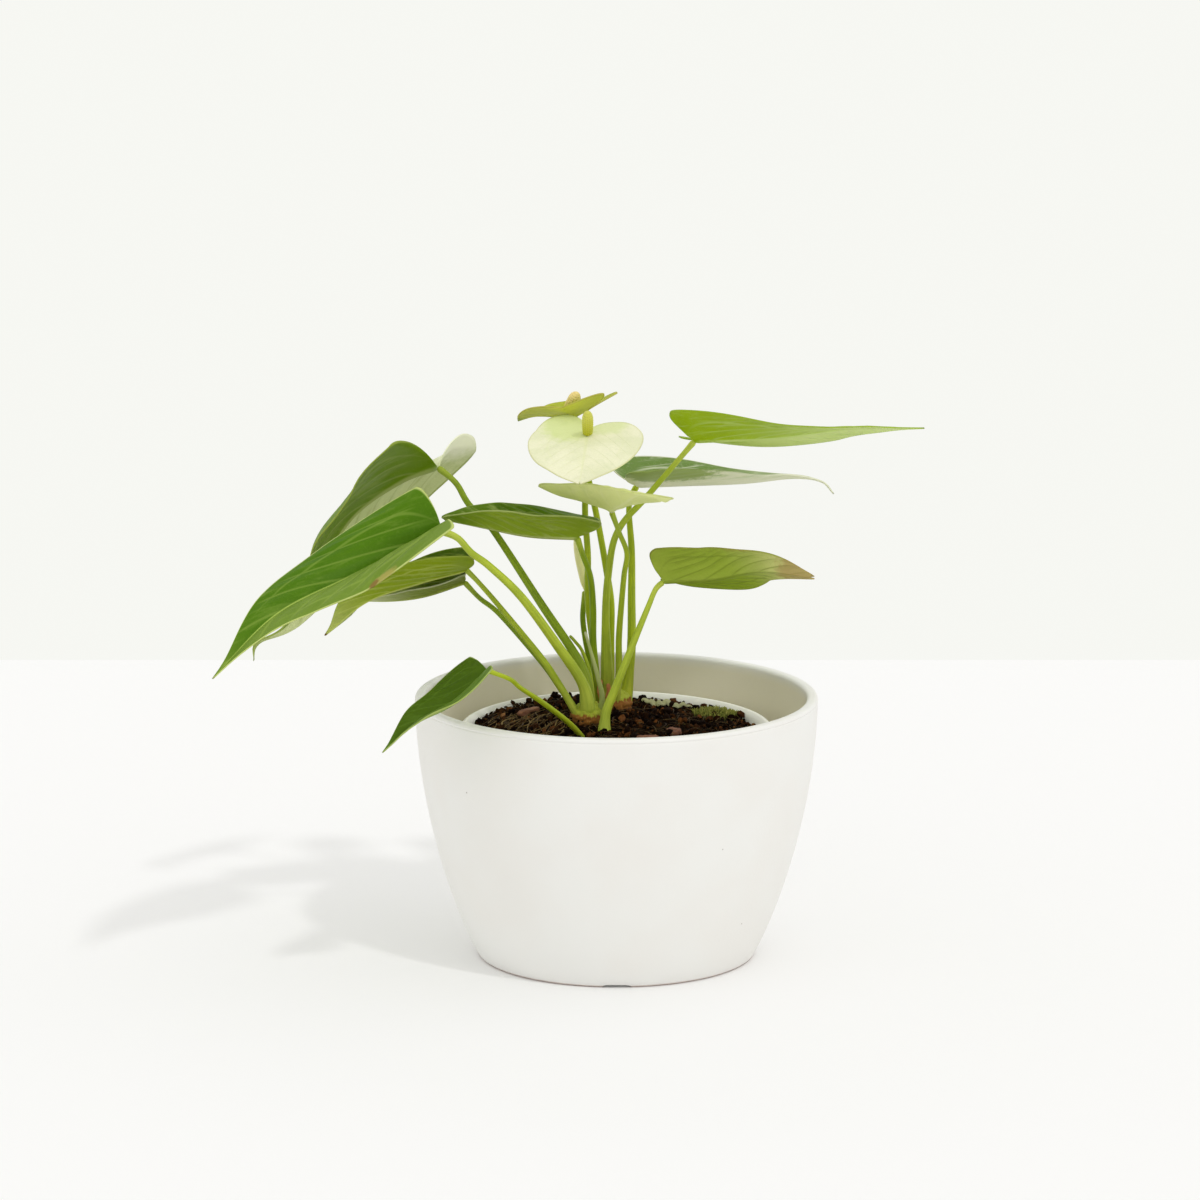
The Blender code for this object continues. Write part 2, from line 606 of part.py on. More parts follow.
def make_stalk(name, stalk, tree):
    """A round stalk on a smooth route, with rounded ends."""
    fine = smooth_route(stalk["route"], 600)
    top_gap = None
    if tree:
        def top_gap(point):
            return tree.find_nearest(Vector(point))[3] - BLADE_THICKNESS / 2
    route, widths = trimmed(fine, stalk["radii"], top_gap)
    spacing = np.linalg.norm(fine[1] - fine[0])
    last = len(route) - 1
    near = [0, int(0.3 * END_TAPER / spacing), int(END_TAPER / spacing)]
    middle = np.linspace(near[-1], last - near[-1], STALK_POINTS - 4)
    picks = near[:2] + [int(round(k)) for k in middle] + [last - near[1], last]
    curve = bpy.data.curves.new(name, "CURVE")
    curve.dimensions = "3D"
    curve.bevel_depth = 1.0
    curve.bevel_resolution = 1
    curve.use_fill_caps = True
    spline = curve.splines.new("POLY")
    spline.points.add(len(picks) - 1)
    for target, k in zip(spline.points, picks):
        target.co = (*route[k], 1.0)
        target.radius = end_radius(widths[k], min(k, last - k) * spacing)
    add_object(name, curve, "stalk")


def spindle(name, path, radius, shape, finish):
    """A short body swept along a path, its radius following shape, a list of shares of the largest."""
    route = smooth_route(path, len(shape))
    curve = bpy.data.curves.new(name, "CURVE")
    curve.dimensions = "3D"
    curve.bevel_depth = radius
    curve.bevel_resolution = 2
    curve.use_fill_caps = True
    spline = curve.splines.new("POLY")
    spline.points.add(len(shape) - 1)
    for target, point, share in zip(spline.points, route, shape):
        target.co = (*point, 1.0)
        target.radius = share
    return add_object(name, curve, finish)


def make_spadix(name, foot, head, radius, tree):
    """A spadix standing on its spathe, raised until it is just clear of the surface."""
    foot, head = np.array(foot), np.array(head)

    def clear(start):
        places = smooth_route((start, head), len(SPADIX_SHAPE))
        return all(
            tree.find_nearest(Vector(place))[3] >= BLADE_THICKNESS / 2 + share * radius + GAP
            for place, share in zip(places, SPADIX_SHAPE)
        )

    raised = [foot + share * (head - foot) for share in np.linspace(0.0, 0.7, 71)]
    foot = next(filter(clear, raised), raised[-1])
    spindle(name, (foot, head), radius, SPADIX_SHAPE, "spadix")


def make_chip(name, x, y, turn, length, width, height):
    """A flake of bark lying on the soil."""
    bm = bmesh.new()
    bmesh.ops.create_cube(bm, size=1.0)
    bmesh.ops.scale(bm, vec=(length, width, height), verts=bm.verts)
    for vertex in bm.verts:
        if vertex.co.z > 0:
            vertex.co.x *= CHIP_TOP[0]
            vertex.co.y *= CHIP_TOP[1]
    step = 0.001
    slope = Vector((
        -(soil_height(x + step, y) - soil_height(x - step, y)) / (2 * step),
        -(soil_height(x, y + step) - soil_height(x, y - step)) / (2 * step),
        1.0,
    )).normalized()
    mesh = bpy.data.meshes.new(name)
    bm.to_mesh(mesh)
    bm.free()
    obj = add_object(name, mesh, "bark", smooth=False)
    lean = Vector((0, 0, 1)).rotation_difference(slope)
    obj.rotation_mode = "QUATERNION"
    a = math.radians(turn)
    spin = Vector((1, 0, 0)).rotation_difference(Vector((math.cos(a), math.sin(a), 0)))
    obj.rotation_quaternion = lean @ spin
    obj.location = Vector((x, y, soil_height(x, y))) + slope * (height / 2 + 2 * GAP)


def make_plant():
    for name, (centre, radii) in CROWNS.items():
        lump(name, centre, radii, 14, 9, "crown")
    trees = {}
    for name, blade in BLADES.items():
        trees[name] = make_blade(name, blade, "spathe" if name.startswith("spathe") else "leaf")
    for name, stalk in STALKS.items():
        make_stalk(name, stalk, trees.get(stalk["blade"]))
    for name, (foot, head, radius, spathe) in SPADICES.items():
        make_spadix(name, foot, head, radius, trees[spathe])
    spindle("flower_bud", BUD, BUD_R, BUD_SHAPE, "spathe")
    for name, path in BROWN_SHEATHS.items():
        spindle(name, (path[0], path[1]), BROWN_SHEATH_R, BROWN_SHEATH_SHAPE, "crown")


def make_soil_litter():
    for name, chip in BARK_CHIPS.items():
        make_chip(name, *chip)
    x, y = MOSS_AT
    lump("moss_patch", (x, y, soil_height(x, y) + MOSS_RADII[2] + 2 * GAP), MOSS_RADII, 14, 8, "moss")
    route = []
    for t in (0.0, 0.25, 0.5, 0.75, 1.0):
        x = STRAW_FROM[0] + (STRAW_TO[0] - STRAW_FROM[0]) * t
        y = STRAW_FROM[1] + (STRAW_TO[1] - STRAW_FROM[1]) * t
        route.append((x, y, soil_height(x, y) + STRAW_R + 2 * GAP))
    spindle("withered_strip", route, STRAW_R, STRAW_SHAPE, "straw")


clear_scene()
PARTS = new_collection("potted_anthurium")
CUTTERS = new_collection("cutters")
make_planter()
make_nursery_pot()
make_soil()
make_plant()
make_soil_litter()
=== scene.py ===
"""Looks of a potted anthurium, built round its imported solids: meshes, procedural finishes, a studio.

Metres, +Z up. The origin is the centre of the planter's underside.
"""

from __future__ import annotations

import json
import logging
import math
import zlib
from dataclasses import dataclass, field
from enum import Enum
from typing import Any, Optional, Sequence, TypeVar, Union

import bpy
import numpy as np
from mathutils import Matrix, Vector, noise

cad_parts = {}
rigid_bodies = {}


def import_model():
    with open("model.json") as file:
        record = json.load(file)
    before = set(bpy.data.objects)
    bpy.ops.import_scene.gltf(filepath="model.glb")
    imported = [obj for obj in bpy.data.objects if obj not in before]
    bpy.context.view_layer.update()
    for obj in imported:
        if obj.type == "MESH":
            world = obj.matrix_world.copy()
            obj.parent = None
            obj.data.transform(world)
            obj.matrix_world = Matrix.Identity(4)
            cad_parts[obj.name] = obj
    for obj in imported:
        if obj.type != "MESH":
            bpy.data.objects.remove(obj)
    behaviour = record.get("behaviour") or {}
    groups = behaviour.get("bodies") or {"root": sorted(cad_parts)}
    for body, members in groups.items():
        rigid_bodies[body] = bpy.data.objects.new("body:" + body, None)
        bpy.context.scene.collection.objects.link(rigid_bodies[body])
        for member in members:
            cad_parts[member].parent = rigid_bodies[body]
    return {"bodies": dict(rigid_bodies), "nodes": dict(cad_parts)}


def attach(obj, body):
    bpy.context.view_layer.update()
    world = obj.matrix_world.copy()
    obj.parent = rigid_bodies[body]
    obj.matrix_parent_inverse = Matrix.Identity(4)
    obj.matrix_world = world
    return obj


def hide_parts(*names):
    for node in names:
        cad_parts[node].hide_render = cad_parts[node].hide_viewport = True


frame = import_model()

Array = np.ndarray
Colour = tuple[float, float, float]
Point = tuple[float, float, float]
Faces = list[tuple[int, ...]]
LOG = logging.getLogger("anthurium")
BODY = "root"
# How far a side vein falls back: the share of its place across, and of that squared.
VEIN_SWEEP = (0.70, 0.30)
VEIN_START = 0.25


class Slot(Enum):
    """The record's material slots."""

    PLANTER = "planter"
    NURSERY = "nursery_pot"
    SOIL = "soil"
    BARK = "bark"
    MOSS = "moss"
    WITHERED = "withered"
    CROWN = "crown"
    LEAF = "leaf"
    STALK = "stalk"
    SPATHE = "spathe"
    BUD = "bud"
    SPADIX = "spadix"


class Shading(Enum):
    """How a mesh's faces are shaded."""

    SMOOTH = "smooth"
    FACETED = "faceted"


class Blend(Enum):
    """How one colour is laid on another."""

    COVER = "MIX"
    TINT = "MULTIPLY"


# ---------------------------------------------------------------- shader maths


class Term:
    """A shader socket that takes part in Python expressions; each operator adds a Math node."""

    def __init__(self, graph: "Graph", socket: bpy.types.NodeSocket) -> None:
        """Keeps the graph and the output socket.

        Args:
            graph: The graph that holds the socket.
            socket: An output socket.
        """
        self.graph = graph
        self.socket = socket

    def __add__(self, other: "Number") -> "Term":
        """Sum."""
        return self.graph.math("ADD", self, other)

    def __radd__(self, other: "Number") -> "Term":
        """Reflected sum."""
        return self.graph.math("ADD", other, self)

    def __sub__(self, other: "Number") -> "Term":
        """Difference."""
        return self.graph.math("SUBTRACT", self, other)

    def __rsub__(self, other: "Number") -> "Term":
        """Reflected difference, so that 1 - mask works."""
        return self.graph.math("SUBTRACT", other, self)

    def __mul__(self, other: "Number") -> "Term":
        """Product."""
        return self.graph.math("MULTIPLY", self, other)

    def __rmul__(self, other: "Number") -> "Term":
        """Reflected product."""
        return self.graph.math("MULTIPLY", other, self)

    def __truediv__(self, other: "Number") -> "Term":
        """Quotient."""
        return self.graph.math("DIVIDE", self, other)

    def __abs__(self) -> "Term":
        """Size without its sign."""
        return self.graph.math("ABSOLUTE", self)

    def fraction(self) -> "Term":
        """The part after the decimal point."""
        return self.graph.math("FRACT", self)

    def at_least(self, other: "Number") -> "Term":
        """The larger of two values."""
        return self.graph.math("MAXIMUM", self, other)

    def ramp(self, low: float, high: float) -> "Term":
        """A smooth step from 0 at low to 1 at high; low may be above high.

        Args:
            low: Value where the step is 0.
            high: Value where the step is 1.

        Returns:
            The step.
        """
        if low > high:
            return 1 - self.ramp(high, low)
        sockets = {"Value": self, "From Min": low, "From Max": high}
        settings = {"interpolation_type": "SMOOTHSTEP"}
        return self.graph.out("ShaderNodeMapRange", "Result", settings, sockets)


Number = Union[Term, float, int]
Places = TypeVar("Places", Term, np.ndarray)


def vein_phase(along: Places, across: Places, count: float) -> Places:
    """Where a place lies between side veins, counted in veins.

    Args:
        along: Place along the blade.
        across: Place across the blade, without its sign.
        count: Side veins on each half.

    Returns:
        The phase; a vein runs where its fraction is one half.
    """
    swept_back = along - VEIN_SWEEP[0] * across - VEIN_SWEEP[1] * (across * across)
    return swept_back * count + VEIN_START


class Graph:
    """The node tree of one material."""

    def __init__(self, name: str) -> None:
        """Makes an empty material.

        Args:
            name: The material's name.
        """
        self.material = bpy.data.materials.new(name)
        self.material.use_nodes = True
        self.tree = self.material.node_tree
        self.tree.nodes.clear()

    def node(self, kind: str, settings: Optional[dict[str, Any]] = None,
             sockets: Optional[dict[Union[str, int], Any]] = None) -> bpy.types.Node:
        """Adds one node.

        Args:
            kind: The node's type.
            settings: Its properties, set before the sockets; "stops" are a colour ramp's.
            sockets: A value or a link for each named or numbered input.

        Returns:
            The node.
        """
        made = self.tree.nodes.new(kind)
        for key, value in (settings or {}).items():
            if key == "stops":
                self._set_stops(made.color_ramp, value)
            else:
                setattr(made, key, value)
        for key, value in (sockets or {}).items():
            target = made.inputs[key]
            if isinstance(value, Term):
                self.tree.links.new(value.socket, target)
            elif isinstance(value, bpy.types.NodeSocket):
                self.tree.links.new(value, target)
            elif isinstance(value, tuple) and target.type == "RGBA":
                target.default_value = (*value[:3], 1.0)
            else:
                target.default_value = value
        return made

    @staticmethod
    def _set_stops(ramp: bpy.types.ColorRamp, stops: Sequence[tuple[float, Colour]]) -> None:
        """Gives a colour ramp its stops.

        Args:
            ramp: The ramp.
            stops: Place and colour of each stop.
        """
        while len(ramp.elements) < len(stops):
            ramp.elements.new(1.0)
        for element, (place, colour) in zip(ramp.elements, stops):
            element.position = place
            element.color = (*colour, 1.0)

    def out(self, kind: str, output: Union[str, int], settings: Optional[dict[str, Any]] = None,
            sockets: Optional[dict[Union[str, int], Any]] = None) -> Term:
        """Adds a node and gives one of its outputs.

        Args:
            kind: The node's type.
            output: Name or number of the output.
            settings: The node's properties.
            sockets: Its inputs.

        Returns:
            The output as a term.
        """
        return Term(self, self.node(kind, settings, sockets).outputs[output])

    def math(self, operation: str, *values: Number) -> Term:
        """Adds a Math node.

        Args:
            operation: The node's operation.
            values: Its inputs, in order.

        Returns:
            The result.
        """
        return self.out("ShaderNodeMath", 0, {"operation": operation}, dict(enumerate(values)))

    def mix(self, share: Number, first: Union[Colour, Term], second: Union[Colour, Term],
            blend: Blend = Blend.COVER) -> Term:
        """Mixes two colours.

        Args:
            share: 0 for the first colour, 1 for the second.
            first: A colour.
            second: A colour.
            blend: How the second is laid on the first.

        Returns:
            The mixed colour.
        """
        settings = {"data_type": "RGBA", "blend_type": blend.value}
        return self.out("ShaderNodeMix", 2, settings, {0: share, 6: first, 7: second})

    def place(self) -> Term:
        """The place on the object, in metres."""
        return self.out("ShaderNodeTexCoord", "Object")

    def grain(self, scale: float, detail: float = 3.0, roughness: float = 0.55, warp: float = 0.0,
              at: Optional[Term] = None) -> Term:
        """Noise from 0 to 1.

        Args:
            scale: Features per metre.
            detail: Octaves.
            roughness: Share of the fine octaves.
            warp: Distortion.
            at: Where it is read, if not the place on the object.

        Returns:
            The noise.
        """
        sockets = {"Vector": at or self.place(), "Scale": scale, "Detail": detail,
                   "Roughness": roughness, "Distortion": warp}
        return self.out("ShaderNodeTexNoise", 0, None, sockets)

    def lines(self, along: Number, around: Number, shift: Number, detail: float = 4.0,
              warp: float = 0.4) -> Term:
        """Noise drawn out into lines that run along a piece, from 0 to 1.

        Args:
            along: Place along the piece, scaled.
            around: Place round or across the piece, scaled.
            shift: Moves the noise.
            detail: Octaves.
            warp: Distortion.

        Returns:
            The noise.
        """
        at = self.out("ShaderNodeCombineXYZ", 0, None, {0: along, 1: around, 2: shift})
        return self.grain(1.0, detail, 0.6, warp, at)

    def ramp_colour(self, value: Term, stops: Sequence[tuple[float, Colour]]) -> Term:
        """A colour that follows a value.

        Args:
            value: From 0 to 1.
            stops: Place and colour of each stop.

        Returns:
            The colour.
        """
        return self.out("ShaderNodeValToRGB", 0, {"stops": stops}, {0: value})

    def field(self, name: str) -> tuple[Term, Term, Term]:
        """The three numbers of a vector kept on the mesh.

        Args:
            name: The attribute's name.

        Returns:
            Its x, y and z.
        """
        stored = self.out("ShaderNodeAttribute", "Vector", {"attribute_name": name})
        split = self.node("ShaderNodeSeparateXYZ", None, {0: stored})
        return Term(self, split.outputs[0]), Term(self, split.outputs[1]), Term(self, split.outputs[2])

    def finish(self, colour: Union[Colour, Term], roughness: Number, height: Optional[Term] = None,
               depth: float = 0.0002, glow: Optional[tuple[float, Colour]] = None,
               **constants: Any) -> bpy.types.Material:
        """Closes the tree with a Principled shader.

        Args:
            colour: Base colour.
            roughness: Roughness.
            height: Height for a Bump node, from 0 to 1.
            depth: The height's full depth in metres.
            glow: Share and colour of light that shines through.
            constants: Other sockets of the shader, with _ for a space.

        Returns:
            The material.
        """
        sockets: dict[Union[str, int], Any] = {"Base Color": colour, "Roughness": roughness}
        sockets.update({name.replace("_", " "): value for name, value in constants.items()})
        if height is not None:
            sockets["Normal"] = self.out("ShaderNodeBump", 0, None,
                                         {"Strength": 1.0, "Distance": depth, "Height": height})
        shader = self.node("ShaderNodeBsdfPrincipled", None, sockets).outputs[0]
        if glow:
            through = self.node("ShaderNodeBsdfTranslucent", None, {"Color": glow[1]}).outputs[0]
            mixed = self.node("ShaderNodeMixShader", None, {0: glow[0], 1: shader, 2: through})
            shader = mixed.outputs[0]
        self.node("ShaderNodeOutputMaterial", None, {"Surface": shader})
        return self.material


# ---------------------------------------------------------------- finishes


@dataclass(frozen=True)
class CeramicFinish:
    """Matt off-white glaze with a few dark specks and a bare foot; the inside wall is painted darker and
    warmer, as shade with warm light bounced off the soil.
    """

    glaze: Colour = (0.865, 0.862, 0.832)
    warm: Colour = (0.855, 0.842, 0.806)
    speck: Colour = (0.30, 0.26, 0.22)
    foot: Colour = (0.55, 0.42, 0.36)
    # painted shade: the inside wall's darker, warmer colour stands for the shade and warm bounced light
    # inside the pot
    inside: Colour = (0.88, 0.83, 0.66)
    speck_cells: float = 125.0
    roughness: float = 0.42
    sheen: float = 0.35
    depth: float = 0.00003

    def make(self) -> bpy.types.Material:
        """The glaze's material.

        Returns:
            The material.
        """
        g = Graph("matt_glaze")
        inner, height, _ = g.field("zone")
        cloud = g.grain(28, 2).ramp(0.35, 0.7)
        colour = g.mix(cloud, self.glaze, self.warm)
        # painted shade laid on the inside wall, below the lip
        colour = g.mix(inner, colour, self.inside)
        cells = g.node("ShaderNodeTexVoronoi", None, {"Vector": g.place(), "Scale": self.speck_cells})
        near = Term(g, cells.outputs["Distance"])
        chosen = g.out("ShaderNodeSeparateColor", 0, None, {0: cells.outputs["Color"]})
        speck = near.ramp(0.055, 0.03) * chosen.ramp(0.86, 0.9)
        colour = g.mix(speck * 0.75, colour, self.speck)
        colour = g.mix(height.ramp(0.0011, 0.0002) * 0.8, colour, self.foot)
        fine = g.grain(900, 3)
        rough = self.roughness + 0.14 * g.grain(60, 3)
        relief = fine + 0.6 * g.grain(140, 2)
        return g.finish(colour, rough, relief, self.depth, Specular_IOR_Level=self.sheen)


@dataclass(frozen=True)
class MouldedFinish:
    """Thin cream-white plastic of the growing pot."""

    body: Colour = (0.93, 0.92, 0.86)
    stain: Colour = (0.50, 0.43, 0.28)
    roughness: float = 0.38
    depth: float = 0.00004

    def make(self) -> bpy.types.Material:
        """The plastic's material.

        Returns:
            The material.
        """
        g = Graph("moulded_plastic")
        dirt = g.grain(170, 4).ramp(0.55, 0.75) * g.field("zone")[0]
        colour = g.mix(dirt * 0.6, self.body, self.stain)
        return g.finish(colour, self.roughness + 0.1 * g.grain(80, 2), g.grain(300, 2), self.depth)


@dataclass(frozen=True)
class SoilFinish:
    """Peat and coir: near-black to brown, by clod."""

    name: str
    stops: tuple[tuple[float, Colour], ...]
    damp: Colour = (0.50, 0.41, 0.22)
    roughness: float = 0.9
    sheen: float = 0.06
    depth: float = 0.0004

    def make(self) -> bpy.types.Material:
        """The soil's material.

        Returns:
            The material.
        """
        g = Graph(self.name)
        shade = g.field("shade")[0]
        mottle = g.grain(1500, 4, 0.6)
        colour = g.ramp_colour(shade * 0.8 + mottle * 0.2, self.stops)
        colour = g.mix(g.grain(500, 3).ramp(0.3, 0.7), colour, self.damp, Blend.TINT)
        relief = g.grain(2200, 4)
        return g.finish(colour, self.roughness, relief, self.depth, Specular_IOR_Level=self.sheen)


@dataclass(frozen=True)
class FibreFinish:
    """Dry plant matter: bark, straw, papery sheaths, with grain along the piece."""

    name: str
    dark: Colour
    mid: Colour
    pale: Colour
    glow: float = 0.0
    roughness: float = 0.75
    sheen: float = 0.3
    depth: float = 0.0003

    def make(self) -> bpy.types.Material:
        """The dry matter's material.

        Returns:
            The material.
        """
        g = Graph(self.name)
        along, around, shade = g.field("run")
        lines = g.lines(along * 3, around * 22, shade * 40)
        tone = lines * 0.6 + g.grain(700, 3) * 0.25 + shade * 0.25
        colour = g.ramp_colour(tone, ((0.25, self.dark), (0.55, self.mid), (0.85, self.pale)))
        glow = (self.glow, self.pale) if self.glow else None
        return g.finish(colour, self.roughness, lines, self.depth, glow, Specular_IOR_Level=self.sheen)


@dataclass(frozen=True)
class HuskFinish:
    """A rhizome: green young growth on top, a torn orange-brown ring round it, dark below."""

    green: Colour = (0.36, 0.41, 0.04)
    ring: Colour = (0.24, 0.095, 0.016)
    straw: Colour = (0.46, 0.26, 0.07)
    dark: Colour = (0.06, 0.025, 0.008)
    roughness: float = 0.7
    sheen: float = 0.15
    depth: float = 0.0003

    def make(self) -> bpy.types.Material:
        """The rhizome's material.

        Returns:
            The material.
        """
        g = Graph("husk")
        height, around, _ = g.field("run")
        lines = g.lines(height * 2, around * 16, 3.0)
        torn = height + (lines - 0.5) * 0.9 + (g.grain(450, 3) - 0.5) * 0.5
        colour = g.mix(torn.ramp(-0.10, 0.30), self.dark, self.ring)
        colour = g.mix(lines.ramp(0.56, 0.70) * 0.8, colour, self.straw)
        colour = g.mix(torn.ramp(0.85, 1.05), colour, self.green)
        return g.finish(colour, self.roughness, lines, self.depth, Specular_IOR_Level=self.sheen)


@dataclass(frozen=True)
class MossFinish:
    """Yellow-green moss, painted darker towards the base of each shoot as shade in the gaps between
    shoots.
    """

    # painted shade: the dark colour at the base of the shoots stands for the shade between them
    gap: Colour = (0.07, 0.08, 0.015)
    body: Colour = (0.22, 0.25, 0.03)
    tips: Colour = (0.42, 0.40, 0.09)
    glow: tuple[float, Colour] = (0.15, (0.4, 0.42, 0.08))
    roughness: float = 0.85

    def make(self) -> bpy.types.Material:
        """The moss's material.

        Returns:
            The material.
        """
        g = Graph("moss")
        shade = g.field("shade")[0]
        tone = shade * 0.7 + g.grain(900, 3) * 0.3
        colour = g.ramp_colour(tone, ((0.15, self.gap), (0.5, self.body), (0.85, self.tips)))
        return g.finish(colour, self.roughness, glow=self.glow)


@dataclass(frozen=True)
class Stain:
    """A patch of another colour on a blade, placed in the blade's own flat outline."""

    along: float
    side: float
    reach: tuple[float, float]
    colour: Colour
    strength: float = 1.0
    ragged: float = 0.35


@dataclass(frozen=True)
class BladeFinish:
    """Leaf or spathe skin: each half's colour above and below, with veins, margin, tip and stains; the
    halves and skins carry painted light and shade.
    """

    name: str
    # painted light and shade: where the halves differ, one is a lit copy with painted sheen and the other
    # a shaded copy of one green
    top: tuple[Colour, Colour]
    # undersides: partly their own paler green, partly painted light shining through the blade
    under: tuple[Colour, Colour]
    vein: Colour
    edge: Colour
    tip: Colour
    tip_from: float = 0.75
    midrib: float = 1.0
    laterals: float = 0.5
    lateral_count: float = 5.0
    streaks: float = 0.25
    gloss: float = 0.40
    glow: tuple[float, Colour] = (0.06, (0.55, 0.72, 0.06))
    stains: tuple[Stain, ...] = ()
    patchy: Colour = (0.55, 0.66, 0.35)
    celled: Colour = (0.5, 0.6, 0.3)
    furrow: Colour = (0.45, 0.6, 0.3)
    collector_at: float = 0.60
    rim: tuple[float, float] = (0.955, 0.99)
    sheen: float = 0.09
    depth: float = 0.00018

    def make(self) -> bpy.types.Material:
        """The blade's material.

        Returns:
            The material.
        """
        g = Graph(self.name + "_skin")
        along, side, grid = g.field("blade")
        across = abs(side)
        margin = abs(grid)
        soft = g.grain(55, 3, 0.5)
        cell = g.grain(1300, 3, 0.7)
        streak = g.lines((along - 0.5 * across) * 9, across * 3.2, side * 2, 3, 0.6)
        colour = self._ground(g, along, side)
        colour = g.mix(soft.ramp(0.58, 0.35) * 0.22, colour, self.patchy, Blend.TINT)
        colour = g.mix(cell.ramp(0.6, 0.4) * 0.10, colour, self.celled, Blend.TINT)
        colour = g.mix(streak.ramp(0.52, 0.72) * self.streaks, colour, self.vein)
        colour = g.mix(streak.ramp(0.44, 0.28) * self.streaks, colour, self.furrow, Blend.TINT)
        veins, lateral = self._veins(g, along, across, margin)
        colour = g.mix(veins, colour, self.vein)
        colour = g.mix(margin.ramp(*self.rim) * 0.85, colour, self.edge)
        for stain in self.stains:
            colour = self._lay_stain(g, stain, colour, along, side)
        height = lateral * -0.5 + streak * 0.6 + cell * 0.12
        rough = self.gloss + 0.10 * soft + 0.05 * cell
        return g.finish(colour, rough, height, self.depth, self.glow, Specular_IOR_Level=self.sheen)

    def _ground(self, g: Graph, along: Term, side: Term) -> Term:
        """The colour of each half and skin, changing towards the tip; the halves' colours hold painted
        light and shade.

        Args:
            g: The graph.
            along: Place along the blade.
            side: Place across the blade.

        Returns:
            The colour.
        """
        below = g.field("skin")[0]
        # painted light and shade: one colour for each half
        left = side.ramp(-0.03, 0.03)
        top = g.mix(left, self.top[1], self.top[0])
        under = g.mix(left, self.under[1], self.under[0])
        return g.mix(along.ramp(self.tip_from, 1.0), g.mix(below, top, under), self.tip)

    def _veins(self, g: Graph, along: Term, across: Term, margin: Term) -> tuple[Term, Term]:
        """How strongly the midrib, the side veins and the fine mesh between them show.

        Args:
            g: The graph.
            along: Place along the blade.
            across: Place across the blade, without its sign.
            margin: 1 on the blade's edge and 0 on the midrib.

        Returns:
            The share of every vein, and that of the side veins alone.
        """
        rib_width = 0.055 - 0.042 * along
        rib = (across / rib_width).ramp(1.0, 0.35) * along.ramp(-0.01, 0.04)
        off = abs(vein_phase(along, across, self.lateral_count).fraction() - 0.5)
        lateral = off.ramp(0.10, 0.02) * margin.ramp(0.97, 0.6) * along.ramp(0.02, 0.10)
        collector = abs(margin - self.collector_at).ramp(0.045, 0.008)
        collector = collector * along.ramp(-0.05, 0.10) * along.ramp(0.8, 0.5)
        mesh_vein = abs(g.grain(420, 1, 0.4, 0.8) - 0.5).ramp(0.025, 0.006) * 0.25
        sides = lateral.at_least(collector).at_least(mesh_vein)
        return (rib * self.midrib).at_least(sides * self.laterals), lateral

    @staticmethod
    def _lay_stain(g: Graph, stain: Stain, colour: Term, along: Term, side: Term) -> Term:
        """Lays one stain on a colour.

        Args:
            g: The graph.
            stain: The patch.
            colour: The colour so far.
            along: Place along the blade.
            side: Place across the blade.

        Returns:
            The stained colour.
        """
        a = (along - stain.along) / stain.reach[0]
        s = (side - stain.side) / stain.reach[1]
        distance = g.math("SQRT", a * a + s * s) + (g.grain(330, 4, 0.65) - 0.5) * (2 * stain.ragged)
        return g.mix(distance.ramp(1.0, 0.55) * stain.strength, colour, stain.colour)


@dataclass(frozen=True)
class StalkFinish:
    """Fleshy green stalk: paler knee at the top, brownish foot, faint lines along it."""

    name: str
    body: Colour = (0.43, 0.53, 0.03)
    knee: Colour = (0.46, 0.56, 0.06)
    foot: Colour = (0.50, 0.54, 0.07)
    dark: Colour = (0.15, 0.24, 0.012)
    roughness: float = 0.40
    sheen: float = 0.22
    depth: float = 0.00012

    def make(self) -> bpy.types.Material:
        """The stalk's material.

        Returns:
            The material.
        """
        g = Graph(self.name + "_rind")
        along, around, _ = g.field("run")
        colour = g.mix(along.ramp(0.16, 0.02), self.body, self.knee)
        colour = g.mix(along.ramp(0.72, 0.96), colour, self.foot)
        lines = g.lines(along * 5, around * 9, 0.0, 3, 0.3)
        colour = g.mix(lines.ramp(0.6, 0.35) * 0.35, colour, self.dark)
        colour = g.mix(g.grain(90, 3).ramp(0.62, 0.4) * 0.22, colour, self.dark)
        rough = self.roughness + 0.12 * lines
        return g.finish(colour, rough, lines, self.depth, Specular_IOR_Level=self.sheen)


@dataclass(frozen=True)
class SpadixFinish:
    """Close-set florets, from a green-yellow foot to a paler head, with painted shade in the hollows
    between florets.
    """

    name: str
    foot: Colour
    head: Colour
    # painted shade: a darker tint for the hollows between florets
    floret_gap_shade: Colour = (0.55, 0.5, 0.12)
    scatter: Point = (0.002, 0.002, 0.0005)
    scattered: float = 0.2
    roughness: float = 0.5
    depth: float = 0.00008

    def make(self) -> bpy.types.Material:
        """The spadix's material.

        Returns:
            The material.
        """
        g = Graph(self.name + "_florets")
        along, bump, _ = g.field("run")
        colour = g.mix(along.ramp(0.1, 0.9), self.foot, self.head)
        # painted shade laid where the floret relief is lowest
        colour = g.mix(bump.ramp(0.45, 0.0) * 0.45, colour, self.floret_gap_shade, Blend.TINT)
        return g.finish(colour, self.roughness, g.grain(2500, 2), self.depth,
                        Subsurface_Weight=self.scattered, Subsurface_Radius=self.scatter,
                        Subsurface_Scale=0.5)


